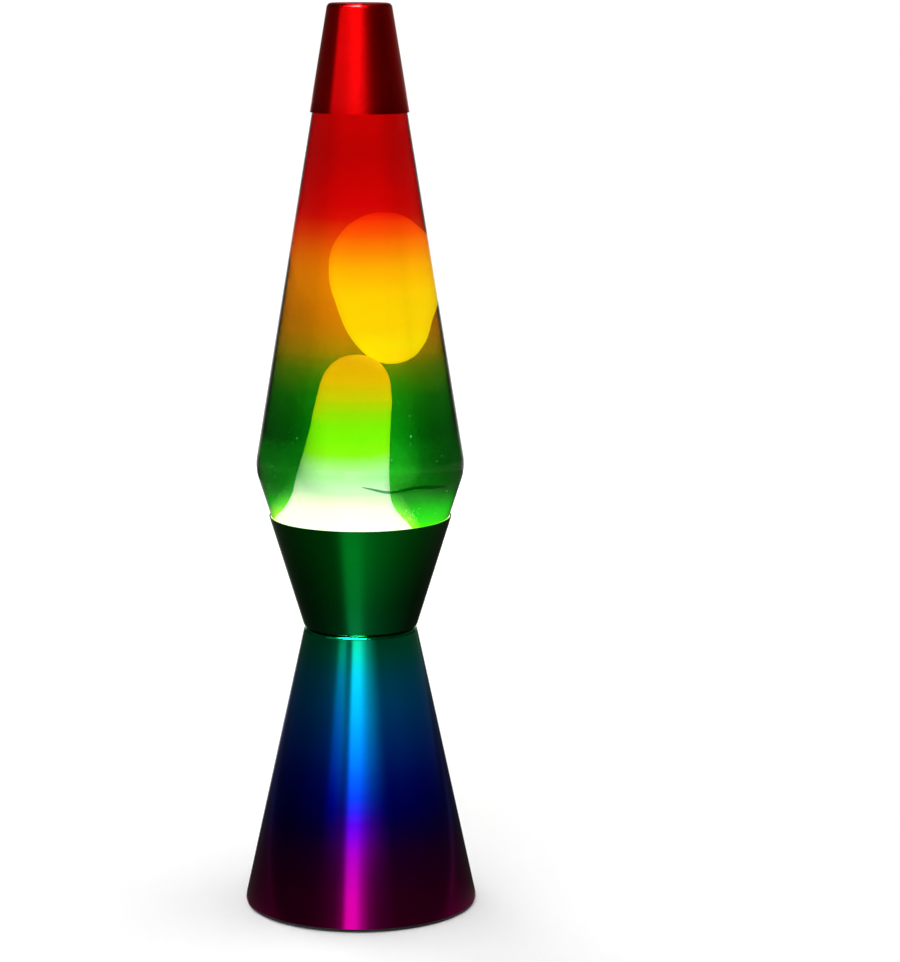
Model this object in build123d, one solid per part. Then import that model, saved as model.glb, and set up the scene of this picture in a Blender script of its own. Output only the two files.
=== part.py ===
"""Liquid motion lamp: an hourglass base with a reflector bulb inside, a sealed glass bottle
of liquid and wax that stands in the base's cup, and a tapered cap over the bottle's closure.

Millimetres, +Z up, the front towards -Y, the origin at the middle of the footprint.
"""
from build123d import *
import math
import os

os.makedirs("parts", exist_ok=True)

# Outside of the lamp
lamp_height = 400.0
cone_foot_radius = 51.9
cone_foot_height = 1.4
waist_radius = 24.9
waist_height = 125.7
rim_radius = 40.3
rim_height = 175.6
shoulder_radius = 46.4
belly_height = 21.9
cap_height = 46.75
cap_edge_radius = 21.65
cap_top_radius = 13.9
seat_gap = 0.3

# Metal shells
cap_wall = 0.6
cap_top_round = 2.2
cup_wall = 0.7
cup_heel_round = 2.2
cone_wall = 0.8
cone_top_round = 1.6
cone_hem_height = 4.0
waist_flange_width = 3.6

# Eyelet that clamps the cup and the cone together, and the ring that the bottle stands on
ferrule_wall = 0.6
ferrule_lip_width = 1.9
press_gap = 0.1
seat_ring_width = 3.2
seat_ring_overhang = 0.7
seat_ring_height = 1.5

# Glass bottle
glass_wall = 2.0
glass_bottom = 3.0
heel_round = 3.0
cavity_heel_round = 4.0
shoulder_round = 22.0
punt_margin = 4.3
punt_rise = 1.0
lip_depth = 22.0
neck_length = 11.5
neck_flare_height = 5.0
neck_radius = 12.3
neck_wall = 4.5
lip_width = 1.0
lip_height = 4.6
lip_round = 1.4

# Crown closure
crown_gauge = 0.25
crown_height = 6.0
crown_top_inset = 0.6
crown_shoulder_width = 0.7
crown_skirt_width = 2.75
crown_shoulder_drop = 1.6
crown_flutes = 21
crown_flute_radius = 0.5
liner_inset = 1.1
liner_thickness = 0.6

# Liquid, wax and wire coil
air_gap = 1.5
film = 0.3
blob_place = 0.536
blob_radius = 18.1
blob_upper_length = 29.3
blob_lower_length = 37.4
blob_top_round = 12.0
blob_bottom_round = 9.5
blob_offset_x = 9.2
blob_offset_y = 4.0
blob_lean = 1.5
column_lean = 5.3
column_foot_x = -8.5
column_foot_y = -3.5
column_dome_radius = 12.1
column_dome_height = 15.0
column_dome_round = 10.5
column_lap = 4.2
column_flank = ((23.4, 12.8), (18.1, 23.2), (15.6, 36.0), (14.2, 49.2))
pool_depth = 29.2
coil_margin = 2.3
coil_wire_ring_radius = 1.8

# Reflector bulb with a 14 mm screw cap
bulb_length = 68.0
bulb_radius = 19.5
bulb_glass_wall = 0.8
bulb_face_depth = 9.0
bulb_face_round = 30.0
bulb_neck_radius = 8.1
bulb_neck_length = 4.2
bulb_neck_seat = 2.0
bulb_margin = 2.4
thread_pitch = 2.822
unscrew_turns = 3.5
thread_sink = 0.15
cap_ridge_root_width = 1.4
cap_ridge_crest_width = 0.8
shell_ridge_root_width = 1.2
shell_ridge_crest_width = 0.6
cap_thread_root_radius = 6.15
cap_thread_crest_radius = 6.9
cap_thread_turns = 5.0
cap_thread_start = 5.1
cap_shell_wall = 0.3
cap_collar_radius = 8.5
cap_length = 24.8
cap_flare_height = 20.2
tip_radius = 2.4
tip_height = 1.5
insulator_height = 3.1
insulator_small_radius = 3.2
stem_radius = 2.6
stem_length = 22.0
stem_foot_wall = 0.85
lead_radius = 0.3
lead_spread = 7.0
lead_rise = 11.0
lead_bend_radius = 2.0
filament_radius = 0.25
fine_gap = 0.05

# Lampholder
contact_gap = 0.3
contact_rise = 5.7
contact_gauge = 0.4
contact_width = 4.0
contact_reach = 2.0
contact_foot_end = 0.5
side_contact_width = 3.0
insert_radius = 11.0
insert_thickness = 4.0
tower_inner_radius = 8.4
tower_outer_radius = 10.2
tower_height = 6.9
shell_outer_radius = 8.0
shell_groove_radius = 7.2
shell_crest_radius = 6.4
shell_flange = 0.6
shell_length = 16.6
shell_thread_turns = 2.5
socket_radius = 11.9
socket_bore_radius = 8.2
socket_chamber_radius = 10.3
socket_length = 17.0
socket_cap_height = 16.5
socket_cap_lap = 1.5
socket_neck_radius = 7.4
socket_neck_height = 5.0
socket_floor = 2.0
terminal_x = 5.0
terminal_width = 4.0
terminal_depth = 5.0
terminal_height = 5.5
terminal_screw_radius = 1.0
terminal_screw_head_radius = 1.8
terminal_screw_head = 1.2
terminal_screw_length = 3.6
rivet_x = 4.0
rivet_radius = 1.1
rivet_head_radius = 1.5
rivet_head = 0.5

# Strap, hollow nipple and nut that carry the lampholder
bracket_gauge = 1.2
bracket_width = 16.0
bracket_leg_x = 17.0
bracket_foot_x = 27.0
bracket_bend = 2.0
nipple_radius = 4.95
nipple_bore_radius = 3.4
nipple_tail = 1.4
locknut_flats = 14.0
locknut_thickness = 3.0

# Bottom plate, its lugs, screws and foot ring
plate_height = 3.0
plate_thickness = 1.0
plate_inset = 2.7
vent_count = 12
vent_radius = 3.0
vent_inset = 15.7
lug_count = 3
lug_first_angle = 30.0
lug_arc = 18.0
lug_gauge = 1.2
lug_inset = 0.2
lug_foot_length = 10.5
lug_weld_low = 7.0
lug_weld_high = 18.0
lug_screw_inset = 6.5
screw_radius = 1.5
screw_head_radius = 2.7
screw_head_height = 1.7
screw_slot_width = 0.6
screw_slot_depth = 0.8
bracket_screw_x = 22.0
nut_flats = 5.5
nut_thickness = 2.4
screw_tail = 0.8
foot_ring_inset = 0.6
foot_ring_width = 4.3
foot_ring_ledge = 1.9
foot_notch_angles = (60.0, 120.0)
foot_notch_width = 9.0
foot_notch_height = 0.8

# Grommet at the rear, where the cord enters
grommet_height = 16.0
grommet_bore_radius = 3.2
grommet_groove_radius = 4.9
grommet_flange_radius = 6.6
grommet_flange = 1.4


def radius_between(height, low, high):
    """Radius at a height on the straight line through two (radius, height) points."""
    share = (height - low[1]) / (high[1] - low[1])
    return low[0] + share * (high[0] - low[0])


def outline(points, rounds=()):
    """Closed outline through (radius, height) points; rounds holds (corner, radius) pairs."""
    face = make_face(Polyline(*points, close=True))
    for corner, radius in rounds:
        face = fillet(face.vertices().sort_by_distance(Vertex(*corner))[0], radius)
    return face


def oval_side(radius, height, end_radius, lift=0.0):
    """Two tangent arcs from (radius, lift) up to the axis at lift + height.

    The upper arc has the end radius, and the lower one meets the level line squarely.
    """
    end_centre = height - end_radius
    side_radius = (radius ** 2 + end_centre ** 2 - end_radius ** 2) / (2 * (radius - end_radius))
    side_centre = radius - side_radius
    reach = side_radius - end_radius
    turn = math.degrees(math.atan2(end_centre / reach, -side_centre / reach))
    side = CenterArc((side_centre, lift), side_radius, 0, turn)
    end = CenterArc((0, end_centre + lift), end_radius, turn, 90 - turn)
    return side + end


def lathe(face, angle=360.0):
    """Turn an outline of radius and height about the lamp's axis."""
    return revolve(Plane.XZ * face, Axis.Z, angle)


def flat_strip(points, width):
    """Strip of sheet metal, drawn from the front and as deep as its width."""
    return extrude(Plane.XZ * outline(points), width / 2, both=True)


def around(shape, count, first_angle=0.0):
    """Copies of a shape, evenly spaced about the lamp's axis."""
    step = 360.0 / count
    return [Rot(0, 0, first_angle + step * index) * shape for index in range(count)]


def mirrored(shape):
    """A shape and its mirror image on the lamp's other side."""
    return [shape, mirror(shape, Plane.YZ)]


def hexagon(flats, thickness, hole_radius):
    """Nut with its lower face at height 0."""
    blank = extrude(RegularPolygon(flats / 2, 6, major_radius=False), thickness)
    return blank - Pos(0, 0, thickness / 2) * Cylinder(hole_radius, 2 * thickness)


def machine_screw(length, head_height):
    """Slotted pan-head screw, its head below height 0 and its shank above."""
    shank = Pos(0, 0, length / 2) * Cylinder(screw_radius, length)
    head = Pos(0, 0, -head_height / 2) * Cylinder(screw_head_radius, head_height)
    edge = head.edges().group_by(Axis.Z)[0]
    head = fillet(edge, head_height / 2)
    slot = Box(3 * screw_head_radius, screw_slot_width, 2 * screw_slot_depth)
    return head + shank - Pos(0, 0, -head_height) * slot


def screw_ridge(root_radius, crest_radius, root_width, crest_width, low, turns):
    """Ridge of a screw thread that winds up the lamp's axis from the height low.

    A crest radius under the root radius makes the inside thread of a shell.
    """
    path = Helix(thread_pitch, thread_pitch * turns, root_radius, center=(0, 0, low))
    crest = crest_radius - root_radius
    root = -math.copysign(thread_sink, crest)
    section = Polyline(
        (root, -root_width / 2),
        (0, -root_width / 2),
        (crest, -crest_width / 2),
        (crest, crest_width / 2),
        (0, root_width / 2),
        (root, root_width / 2),
        close=True,
    )
    start = Plane(origin=path @ 0, x_dir=(1, 0, 0), z_dir=path % 0)
    return sweep(start * make_face(section), path=path, is_frenet=True)


# Radii that follow from the sizes above
waist_hole_radius = waist_radius - waist_flange_width
ferrule_lip_radius = waist_hole_radius + ferrule_lip_width
seat_ring_outer_radius = ferrule_lip_radius + seat_ring_overhang
seat_ring_inner_radius = seat_ring_outer_radius - seat_ring_width
punt_radius = waist_hole_radius - punt_margin
coil_radius = waist_hole_radius - coil_margin
neck_bore_radius = neck_radius - neck_wall
lip_radius = neck_radius + lip_width
liner_radius = lip_radius - liner_inset
crown_top_radius = lip_radius - crown_top_inset
crown_shoulder_radius = lip_radius + crown_shoulder_width
crown_skirt_radius = lip_radius + crown_skirt_width
plate_radius = cone_foot_radius - plate_inset
vent_circle_radius = plate_radius - vent_inset
lug_leg_radius = plate_radius - lug_inset
lug_inner_radius = lug_leg_radius - lug_foot_length
lug_screw_circle_radius = lug_leg_radius - lug_screw_inset
foot_ring_outer_radius = cone_foot_radius - foot_ring_inset
foot_ring_inner_radius = foot_ring_outer_radius - foot_ring_width
foot_ring_step_radius = foot_ring_outer_radius - foot_ring_ledge

# Heights that follow from the sizes above
shoulder_height = rim_height + belly_height
cap_edge_height = lamp_height - cap_height
lip_top_height = lamp_height - lip_depth
neck_foot_height = lip_top_height - neck_length
neck_root_height = neck_foot_height - neck_flare_height
liquid_level = neck_root_height - air_gap
ferrule_lip = ferrule_wall
seat_ring_low = waist_height + cup_wall + ferrule_lip
bottle_low = seat_ring_low + seat_ring_height + seat_gap
pool_height = bottle_low + pool_depth
blob_middle_height = shoulder_height + blob_place * (cap_edge_height - shoulder_height)
column_top_height = blob_middle_height - blob_lower_length + column_lap
unscrew_travel = thread_pitch * unscrew_turns
bulb_top = bottle_low - unscrew_travel - bulb_margin
tip_low = bulb_top - bulb_length
insert_top = tip_low - contact_gap - contact_rise
insert_low = insert_top - insert_thickness
shell_foot = insert_top + tower_height
socket_low = insert_low - socket_cap_height
socket_floor_top = socket_low + socket_neck_height + socket_floor
socket_joint = insert_low + socket_cap_lap
socket_top = shell_foot + socket_length
plate_top = plate_height + plate_thickness
crown_inner_top = lip_top_height + liner_thickness
crown_top = crown_inner_top + crown_gauge

cone_foot = (cone_foot_radius, cone_foot_height)
waist = (waist_radius, waist_height)
rim = (rim_radius, rim_height)
shoulder = (shoulder_radius, shoulder_height)
cap_edge = (cap_edge_radius, cap_edge_height)
cap_corner = (cap_top_radius, lamp_height)
bottle_at_rim = (rim_radius - cup_wall - seat_gap, rim_height)
bottle_at_cap = (cap_edge_radius - cap_wall - seat_gap, cap_edge_height)
cone_lean = math.degrees(math.atan2(cone_foot_radius - waist_radius, waist_height - cone_foot_height))


def cone_radius(height):
    """Outer radius of the lower cone."""
    return radius_between(height, cone_foot, waist)


def cup_radius(height):
    """Outer radius of the cup."""
    return radius_between(height, waist, rim)


def cap_radius(height):
    """Outer radius of the top cap."""
    return radius_between(height, cap_edge, cap_corner)


def bottle_radius(height):
    """Outer radius of the bottle below its neck."""
    if height < shoulder_height:
        cup_clearance = cup_wall + seat_gap
        if height < rim_height:
            return cup_radius(height) - cup_clearance
        return radius_between(height, bottle_at_rim, shoulder)
    return radius_between(height, shoulder, bottle_at_cap)


def make_top_cap():
    """Spun cap, closed at the top and open below."""
    inner_top = lamp_height - cap_wall
    inner_corner = (cap_radius(inner_top) - cap_wall, inner_top)
    points = [
        cap_edge,
        cap_corner,
        (0, lamp_height),
        (0, inner_top),
        inner_corner,
        (cap_edge_radius - cap_wall, cap_edge_height),
    ]
    rounds = [(cap_corner, cap_top_round), (inner_corner, cap_top_round - cap_wall)]
    return lathe(outline(points, rounds))


def slab(low, high):
    """Disc wider than the lamp between two heights."""
    return Pos(0, 0, (low + high) / 2) * Cylinder(2 * shoulder_radius, high - low)


def make_cavity():
    """Space inside the bottle's body, up to the root of its neck."""
    low = bottle_low + glass_bottom
    heel = (bottle_radius(low) - glass_wall, low)
    belly = (shoulder_radius - glass_wall, shoulder_height)
    points = [
        (0, low),
        heel,
        (bottle_radius(rim_height) - glass_wall, rim_height),
        belly,
        (bottle_radius(neck_root_height) - glass_wall, neck_root_height),
        (0, neck_root_height),
    ]
    rounds = [(heel, cavity_heel_round), (belly, shoulder_round - glass_wall)]
    return lathe(outline(points, rounds))


def make_neck_passage():
    """Space inside the bottle's neck, from its root to above its lip."""
    root_inner = bottle_radius(neck_root_height) - glass_wall
    points = [
        (0, neck_root_height),
        (root_inner, neck_root_height),
        (neck_bore_radius, neck_foot_height),
        (neck_bore_radius, lip_top_height + lip_height),
        (0, lip_top_height + lip_height),
    ]
    return lathe(outline(points))


def make_bottle():
    """Glass shell with a hollowed foot and a crown finish at its mouth."""
    heel = (bottle_radius(bottle_low), bottle_low)
    neck_root = (bottle_radius(neck_root_height), neck_root_height)
    neck_foot = (neck_radius, neck_foot_height)
    lip_low = lip_top_height - lip_height
    lip_under = (lip_radius, lip_low + lip_radius - neck_radius)
    lip_edge = (lip_radius, lip_top_height)
    points = [
        (0, bottle_low + punt_rise),
        (punt_radius, bottle_low + punt_rise),
        (punt_radius + punt_rise, bottle_low),
        heel,
        bottle_at_rim,
        shoulder,
        neck_root,
        neck_foot,
        (neck_radius, lip_low),
        lip_under,
        lip_edge,
        (0, lip_top_height),
    ]
    rounds = [
        (heel, heel_round),
        (shoulder, shoulder_round),
        (neck_root, cap_top_round),
        (neck_foot, lip_round),
        (lip_edge, lip_round),
    ]
    return lathe(outline(points, rounds)) - make_cavity() - make_neck_passage()


def make_crown_cap():
    """Pressed closure with a flared, fluted skirt."""
    skirt_low = crown_top - crown_height
    shoulder_low = crown_top - crown_shoulder_drop
    points = [
        (0, crown_top),
        (crown_top_radius, crown_top),
        (crown_shoulder_radius, shoulder_low),
        (crown_skirt_radius, skirt_low),
        (crown_skirt_radius - crown_gauge, skirt_low),
        (crown_shoulder_radius - crown_gauge, shoulder_low),
        (crown_top_radius, crown_inner_top),
        (0, crown_inner_top),
    ]
    shell = lathe(outline(points))
    middle = (crown_shoulder_radius + crown_skirt_radius) / 2
    flare = math.degrees(math.atan2(crown_skirt_radius - crown_shoulder_radius, shoulder_low - skirt_low))
    flute_length = 2 * (shoulder_low - skirt_low)
    flute = Cylinder(crown_flute_radius, flute_length)
    flute = Pos(middle, 0, (shoulder_low + skirt_low) / 2) * Rot(0, -flare, 0) * flute
    band = [
        (crown_shoulder_radius - crown_gauge, shoulder_low),
        (crown_skirt_radius - crown_gauge, skirt_low),
        (crown_skirt_radius + crown_gauge, skirt_low),
        (crown_shoulder_radius + crown_gauge, shoulder_low),
    ]
    band = lathe(outline(band))
    for copy in around(flute & band, crown_flutes):
        shell += copy
    return shell


def make_crown_liner():
    """Soft disc between the closure and the glass lip."""
    return Pos(0, 0, lip_top_height + liner_thickness / 2) * Cylinder(liner_radius, liner_thickness)


def make_coil_ring():
    """Ring that the wire coil fills, lying in the bottom of the bottle."""
    height = bottle_low + glass_bottom + coil_wire_ring_radius + fine_gap
    return Pos(0, 0, height) * Torus(coil_radius, coil_wire_ring_radius)


def make_egg(swell):
    """Blob of wax: two half ellipsoids on one leaning axis, swollen by a film of liquid."""
    girth = blob_radius + swell
    rise = blob_upper_length + swell
    drop = blob_lower_length + swell
    upper = oval_side(girth, rise, blob_top_round + swell)
    lower = mirror(oval_side(girth, drop, blob_bottom_round + swell), Plane.XZ)
    half = make_face(lower + upper + Line((0, rise), (0, -drop)))
    place = Pos(blob_offset_x, blob_offset_y, blob_middle_height) * Rot(0, -blob_lean, 0)
    return place * lathe(half)


def make_wax_column(cavity, coil_ring):
    """Leaning column with a domed top, flared into the molten pool round the coil."""
    dome_low = column_top_height - column_dome_height - pool_height
    dome = oval_side(column_dome_radius, column_dome_height, column_dome_round, dome_low)
    flank = Spline(
        (bottle_radius(pool_height), 0),
        *column_flank,
        (column_dome_radius, dome_low),
        tangents=[(-1, 0), (0, 1)],
    )
    top = (0, column_top_height - pool_height)
    half = make_face(flank + dome + Line(top, (0, 0)) + Line((0, 0), (bottle_radius(pool_height), 0)))
    column = Pos(column_foot_x, column_foot_y, pool_height) * Rot(0, column_lean, 0) * lathe(half)
    pool = cavity & slab(bottle_low, pool_height)
    return pool + (column & cavity) - coil_ring


def make_upper_cup():
    """Spun cup with an inward ledge at the waist."""
    ledge_top = waist_height + cup_wall
    inner_heel = (cup_radius(ledge_top) - cup_wall, ledge_top)
    points = [
        (waist_hole_radius, waist_height),
        waist,
        rim,
        (rim_radius - cup_wall, rim_height),
        inner_heel,
        (waist_hole_radius, ledge_top),
    ]
    rounds = [(waist, cup_heel_round), (inner_heel, cup_heel_round - cup_wall)]
    return lathe(outline(points, rounds))


def grommet_plane():
    """Plane square to the cone's rear wall, at the middle of its thickness."""
    lean = math.radians(cone_lean)
    wall_middle = cone_radius(grommet_height) - cone_wall / 2
    normal = (0, math.cos(lean), math.sin(lean))
    return Plane(origin=(0, wall_middle, grommet_height), x_dir=(1, 0, 0), z_dir=normal)


def make_lower_cone():
    """Spun cone with a hemmed foot, an inward flange at the waist and a hole at the rear."""
    flange_low = waist_height - cone_wall
    inner_corner = (cone_radius(flange_low) - cone_wall, flange_low)
    hem_top = cone_foot_height + cone_hem_height
    points = [
        cone_foot,
        waist,
        (waist_hole_radius, waist_height),
        (waist_hole_radius, flange_low),
        inner_corner,
        (cone_radius(hem_top) - cone_wall, hem_top),
        (cone_radius(hem_top) - 2 * cone_wall, hem_top),
        (cone_foot_radius - 2 * cone_wall, cone_foot_height),
    ]
    rounds = [(waist, cone_top_round), (inner_corner, cone_top_round - cone_wall)]
    cord_hole = grommet_plane() * Cylinder(grommet_groove_radius + fine_gap, 4 * grommet_flange)
    return lathe(outline(points, rounds)) - cord_hole


def make_waist_ferrule():
    """Eyelet whose two lips clamp the cup's ledge on the cone's flange."""
    outer = waist_hole_radius - press_gap
    inner = outer - ferrule_wall
    low = waist_height - cone_wall
    high = waist_height + cup_wall
    points = [
        (inner, low - ferrule_lip),
        (ferrule_lip_radius, low - ferrule_lip),
        (ferrule_lip_radius, low),
        (outer, low),
        (outer, high),
        (ferrule_lip_radius, high),
        (ferrule_lip_radius, high + ferrule_lip),
        (inner, high + ferrule_lip),
    ]
    return lathe(outline(points))


def make_seat_ring():
    """Soft ring on the eyelet's upper lip, under the bottle."""
    high = seat_ring_low + seat_ring_height
    points = [
        (seat_ring_inner_radius, seat_ring_low),
        (seat_ring_outer_radius, seat_ring_low),
        (seat_ring_outer_radius, high),
        (seat_ring_inner_radius, high),
    ]
    return lathe(outline(points))


def make_base_plate():
    """Vented bottom plate with holes for the lug screws and the strap screws."""
    middle = plate_height + plate_thickness / 2
    plate = Pos(0, 0, middle) * Cylinder(plate_radius, plate_thickness)
    vent = Pos(vent_circle_radius, 0, middle) * Cylinder(vent_radius, 2 * plate_thickness)
    screw_hole = Cylinder(screw_radius + fine_gap, 2 * plate_thickness)
    holes = around(vent, vent_count, 180.0 / vent_count)
    holes += around(Pos(lug_screw_circle_radius, 0, middle) * screw_hole, lug_count, lug_first_angle)
    holes += mirrored(Pos(bracket_screw_x, 0, middle) * screw_hole)
    for hole in holes:
        plate -= hole
    return plate


def make_plate_lugs():
    """Bent lugs welded to the cone's inner wall, tapped for the plate screws."""
    leg_inner = lug_leg_radius - lug_gauge
    bend_high = lug_weld_low - lug_gauge / 2
    points = [
        (lug_inner_radius, plate_top),
        (lug_leg_radius, plate_top),
        (lug_leg_radius, bend_high),
        (cone_radius(lug_weld_low) - cone_wall, lug_weld_low),
        (cone_radius(lug_weld_high) - cone_wall, lug_weld_high),
        (cone_radius(lug_weld_high) - cone_wall - lug_gauge, lug_weld_high),
        (cone_radius(lug_weld_low) - cone_wall - lug_gauge, lug_weld_low),
        (leg_inner, bend_high),
        (leg_inner, plate_top + lug_gauge),
        (lug_inner_radius, plate_top + lug_gauge),
    ]
    lug = Rot(0, 0, -lug_arc / 2) * lathe(outline(points), lug_arc)
    lug -= Pos(lug_screw_circle_radius, 0, plate_top) * Cylinder(screw_radius + fine_gap, 4 * lug_gauge)
    return Compound(around(lug, lug_count, lug_first_angle))


def make_plate_screws():
    """Screws up through the plate into the lugs."""
    length = plate_thickness + lug_gauge + screw_tail
    screw = Pos(lug_screw_circle_radius, 0, plate_height) * machine_screw(length, screw_head_height)
    return Compound(around(screw, lug_count, lug_first_angle))


def make_foot_ring():
    """Stepped black ring under the hem and the plate, notched at the rear to let air in."""
    points = [
        (foot_ring_inner_radius, 0),
        (foot_ring_outer_radius, 0),
        (foot_ring_outer_radius, cone_foot_height),
        (foot_ring_step_radius, cone_foot_height),
        (foot_ring_step_radius, plate_height),
        (foot_ring_inner_radius, plate_height),
    ]
    ring = lathe(outline(points))
    for angle in foot_notch_angles:
        notch = Box(foot_ring_outer_radius, foot_notch_width, 2 * foot_notch_height)
        ring -= Rot(0, 0, angle) * Pos(foot_ring_outer_radius, 0, 0) * notch
    return ring


def make_socket_bracket():
    """Hat-shaped strap that stands on the plate and holds the lampholder up."""
    foot_top = plate_top + bracket_gauge
    inner_x = bracket_leg_x - bracket_gauge
    right = [
        (bracket_leg_x, socket_low),
        (bracket_leg_x, foot_top),
        (bracket_foot_x, foot_top),
        (bracket_foot_x, plate_top),
        (inner_x, plate_top),
        (inner_x, socket_low - bracket_gauge),
    ]
    left = [(-x, z) for x, z in reversed(right)]
    tops = [(sign * bracket_leg_x, socket_low) for sign in (-1, 1)]
    unders = [(sign * inner_x, socket_low - bracket_gauge) for sign in (-1, 1)]
    rounds = [(corner, bracket_bend) for corner in tops]
    rounds += [(corner, bracket_bend - bracket_gauge) for corner in unders]
    strap = extrude(Plane.XZ * outline(right + left, rounds), bracket_width / 2, both=True)
    strap -= Pos(0, 0, socket_low) * Cylinder(nipple_radius + press_gap, 4 * bracket_gauge)
    screw_hole = Pos(bracket_screw_x, 0, plate_top) * Cylinder(screw_radius + fine_gap, 4 * bracket_gauge)
    for hole in mirrored(screw_hole):
        strap -= hole
    return strap


def make_bracket_screws():
    """Screws up through the plate and the strap's feet."""
    length = plate_thickness + bracket_gauge + nut_thickness + screw_tail
    screw = Pos(bracket_screw_x, 0, plate_height) * machine_screw(length, screw_head_height)
    return Compound(mirrored(screw))


def make_bracket_nuts():
    """Nuts on the strap's feet."""
    nut = hexagon(nut_flats, nut_thickness, screw_radius + fine_gap)
    return Compound(mirrored(Pos(bracket_screw_x, 0, plate_top + bracket_gauge) * nut))


def make_nipple():
    """Hollow threaded tube through the strap into the lampholder."""
    low = socket_low - bracket_gauge - locknut_thickness - nipple_tail
    length = socket_floor_top - low
    tube = Cylinder(nipple_radius, length) - Cylinder(nipple_bore_radius, 2 * length)
    return Pos(0, 0, low + length / 2) * tube


def make_nipple_locknut():
    """Nut under the strap."""
    low = socket_low - bracket_gauge - locknut_thickness
    return Pos(0, 0, low) * hexagon(locknut_flats, locknut_thickness, nipple_radius + fine_gap)


def make_socket_cap():
    """Lower half of the lampholder, with the threaded entry."""
    neck_top = socket_low + socket_neck_height
    step = (socket_chamber_radius, insert_low)
    points = [
        (nipple_radius + fine_gap, socket_low),
        (socket_neck_radius, socket_low),
        (socket_neck_radius, neck_top),
        (socket_radius, neck_top),
        (socket_radius, socket_joint),
        (insert_radius + press_gap, socket_joint),
        (insert_radius + press_gap, insert_low),
        step,
        (socket_chamber_radius, socket_floor_top),
        (nipple_radius + fine_gap, socket_floor_top),
    ]
    rounds = [((socket_radius, neck_top), socket_floor)]
    return lathe(outline(points, rounds))


def make_socket_body():
    """Upper half of the lampholder, round the insert and the threaded shell."""
    flange_top = shell_foot + shell_flange
    points = [
        (insert_radius + press_gap, socket_joint),
        (socket_radius, socket_joint),
        (socket_radius, socket_top),
        (socket_bore_radius, socket_top),
        (socket_bore_radius, flange_top),
        (socket_chamber_radius, flange_top),
        (socket_chamber_radius, insert_top),
        (insert_radius + press_gap, insert_top),
    ]
    rounds = [((socket_radius, socket_top), socket_cap_lap)]
    return lathe(outline(points, rounds))


def make_socket_insert():
    """Insulating disc with a tower that carries the shell, bored for the rivets."""
    points = [
        (0, insert_low),
        (insert_radius, insert_low),
        (insert_radius, insert_top),
        (tower_outer_radius, insert_top),
        (tower_outer_radius, shell_foot),
        (tower_inner_radius, shell_foot),
        (tower_inner_radius, insert_top),
        (0, insert_top),
    ]
    insert = lathe(outline(points))
    hole = Cylinder(rivet_radius + fine_gap, 4 * insert_thickness)
    for copy in mirrored(Pos(rivet_x, 0, insert_low) * hole):
        insert -= copy
    return insert


def make_socket_shell():
    """Threaded shell with a flange at its foot."""
    flange_top = shell_foot + shell_flange
    high = shell_foot + shell_length
    points = [
        (shell_groove_radius, shell_foot),
        (tower_outer_radius, shell_foot),
        (tower_outer_radius, flange_top),
        (shell_outer_radius, flange_top),
        (shell_outer_radius, high),
        (shell_groove_radius, high),
    ]
    low = tip_low + cap_thread_start + thread_pitch / 2
    ridge = screw_ridge(
        shell_groove_radius,
        shell_crest_radius,
        shell_ridge_root_width,
        shell_ridge_crest_width,
        low,
        shell_thread_turns,
    )
    return lathe(outline(points)) + ridge


def make_centre_contact():
    """Sprung strip under the bulb's tip."""
    high = insert_top + contact_rise
    back = rivet_x + contact_width / 2
    points = [
        (contact_foot_end, insert_top),
        (-back, insert_top),
        (-back, high),
        (contact_reach, high),
        (contact_reach, high - contact_gauge),
        (contact_gauge - back, high - contact_gauge),
        (contact_gauge - back, insert_top + contact_gauge),
        (contact_foot_end, insert_top + contact_gauge),
    ]
    strip = flat_strip(points, contact_width)
    return strip - Pos(-rivet_x, 0, insert_top) * Cylinder(rivet_radius + fine_gap, 3 * contact_gauge)


def make_side_contact():
    """Strip that rises inside the tower to the shell's flange."""
    foot_end = rivet_x - side_contact_width / 2
    back = tower_inner_radius - 4 * fine_gap
    points = [
        (foot_end, insert_top),
        (back, insert_top),
        (back, shell_foot),
        (back - contact_gauge, shell_foot),
        (back - contact_gauge, insert_top + contact_gauge),
        (foot_end, insert_top + contact_gauge),
    ]
    strip = flat_strip(points, side_contact_width)
    return strip - Pos(rivet_x, 0, insert_top) * Cylinder(rivet_radius + fine_gap, 3 * contact_gauge)


def make_contact_rivets():
    """Rivets that join each contact to its terminal."""
    shank_length = insert_thickness + contact_gauge
    shank = Pos(rivet_x, 0, insert_low + shank_length / 2) * Cylinder(rivet_radius, shank_length)
    head_middle = insert_top + contact_gauge + rivet_head / 2
    head = Pos(rivet_x, 0, head_middle) * Cylinder(rivet_head_radius, rivet_head)
    return Compound(mirrored(shank + head))


def make_terminal_blocks():
    """Brass blocks under the insert, with a wire hole and a screw hole."""
    middle = insert_low - terminal_height / 2
    block = Pos(terminal_x, 0, middle) * Box(terminal_width, terminal_depth, terminal_height)
    wire_hole = Pos(terminal_x, 0, insert_low - terminal_height) * Cylinder(rivet_radius, terminal_height)
    hole_length = 2 * (terminal_screw_length + fine_gap)
    screw_hole = Rot(90, 0, 0) * Cylinder(terminal_screw_radius + fine_gap, hole_length)
    block = block - wire_hole - Pos(terminal_x, -terminal_depth / 2, middle) * screw_hole
    return Compound(mirrored(block))


def make_terminal_screws():
    """Screws in the front of the terminal blocks."""
    face = -terminal_depth / 2
    shank = Pos(0, 0, terminal_screw_length / 2) * Cylinder(terminal_screw_radius, terminal_screw_length)
    head = Pos(0, 0, -terminal_screw_head / 2) * Cylinder(terminal_screw_head_radius, terminal_screw_head)
    slot = Box(4 * terminal_screw_head_radius, screw_slot_width, terminal_screw_head)
    screw = head + shank - Pos(0, 0, -terminal_screw_head) * slot
    screw = Pos(terminal_x, face, insert_low - terminal_height / 2) * Rot(-90, 0, 0) * screw
    return Compound(mirrored(screw))


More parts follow.
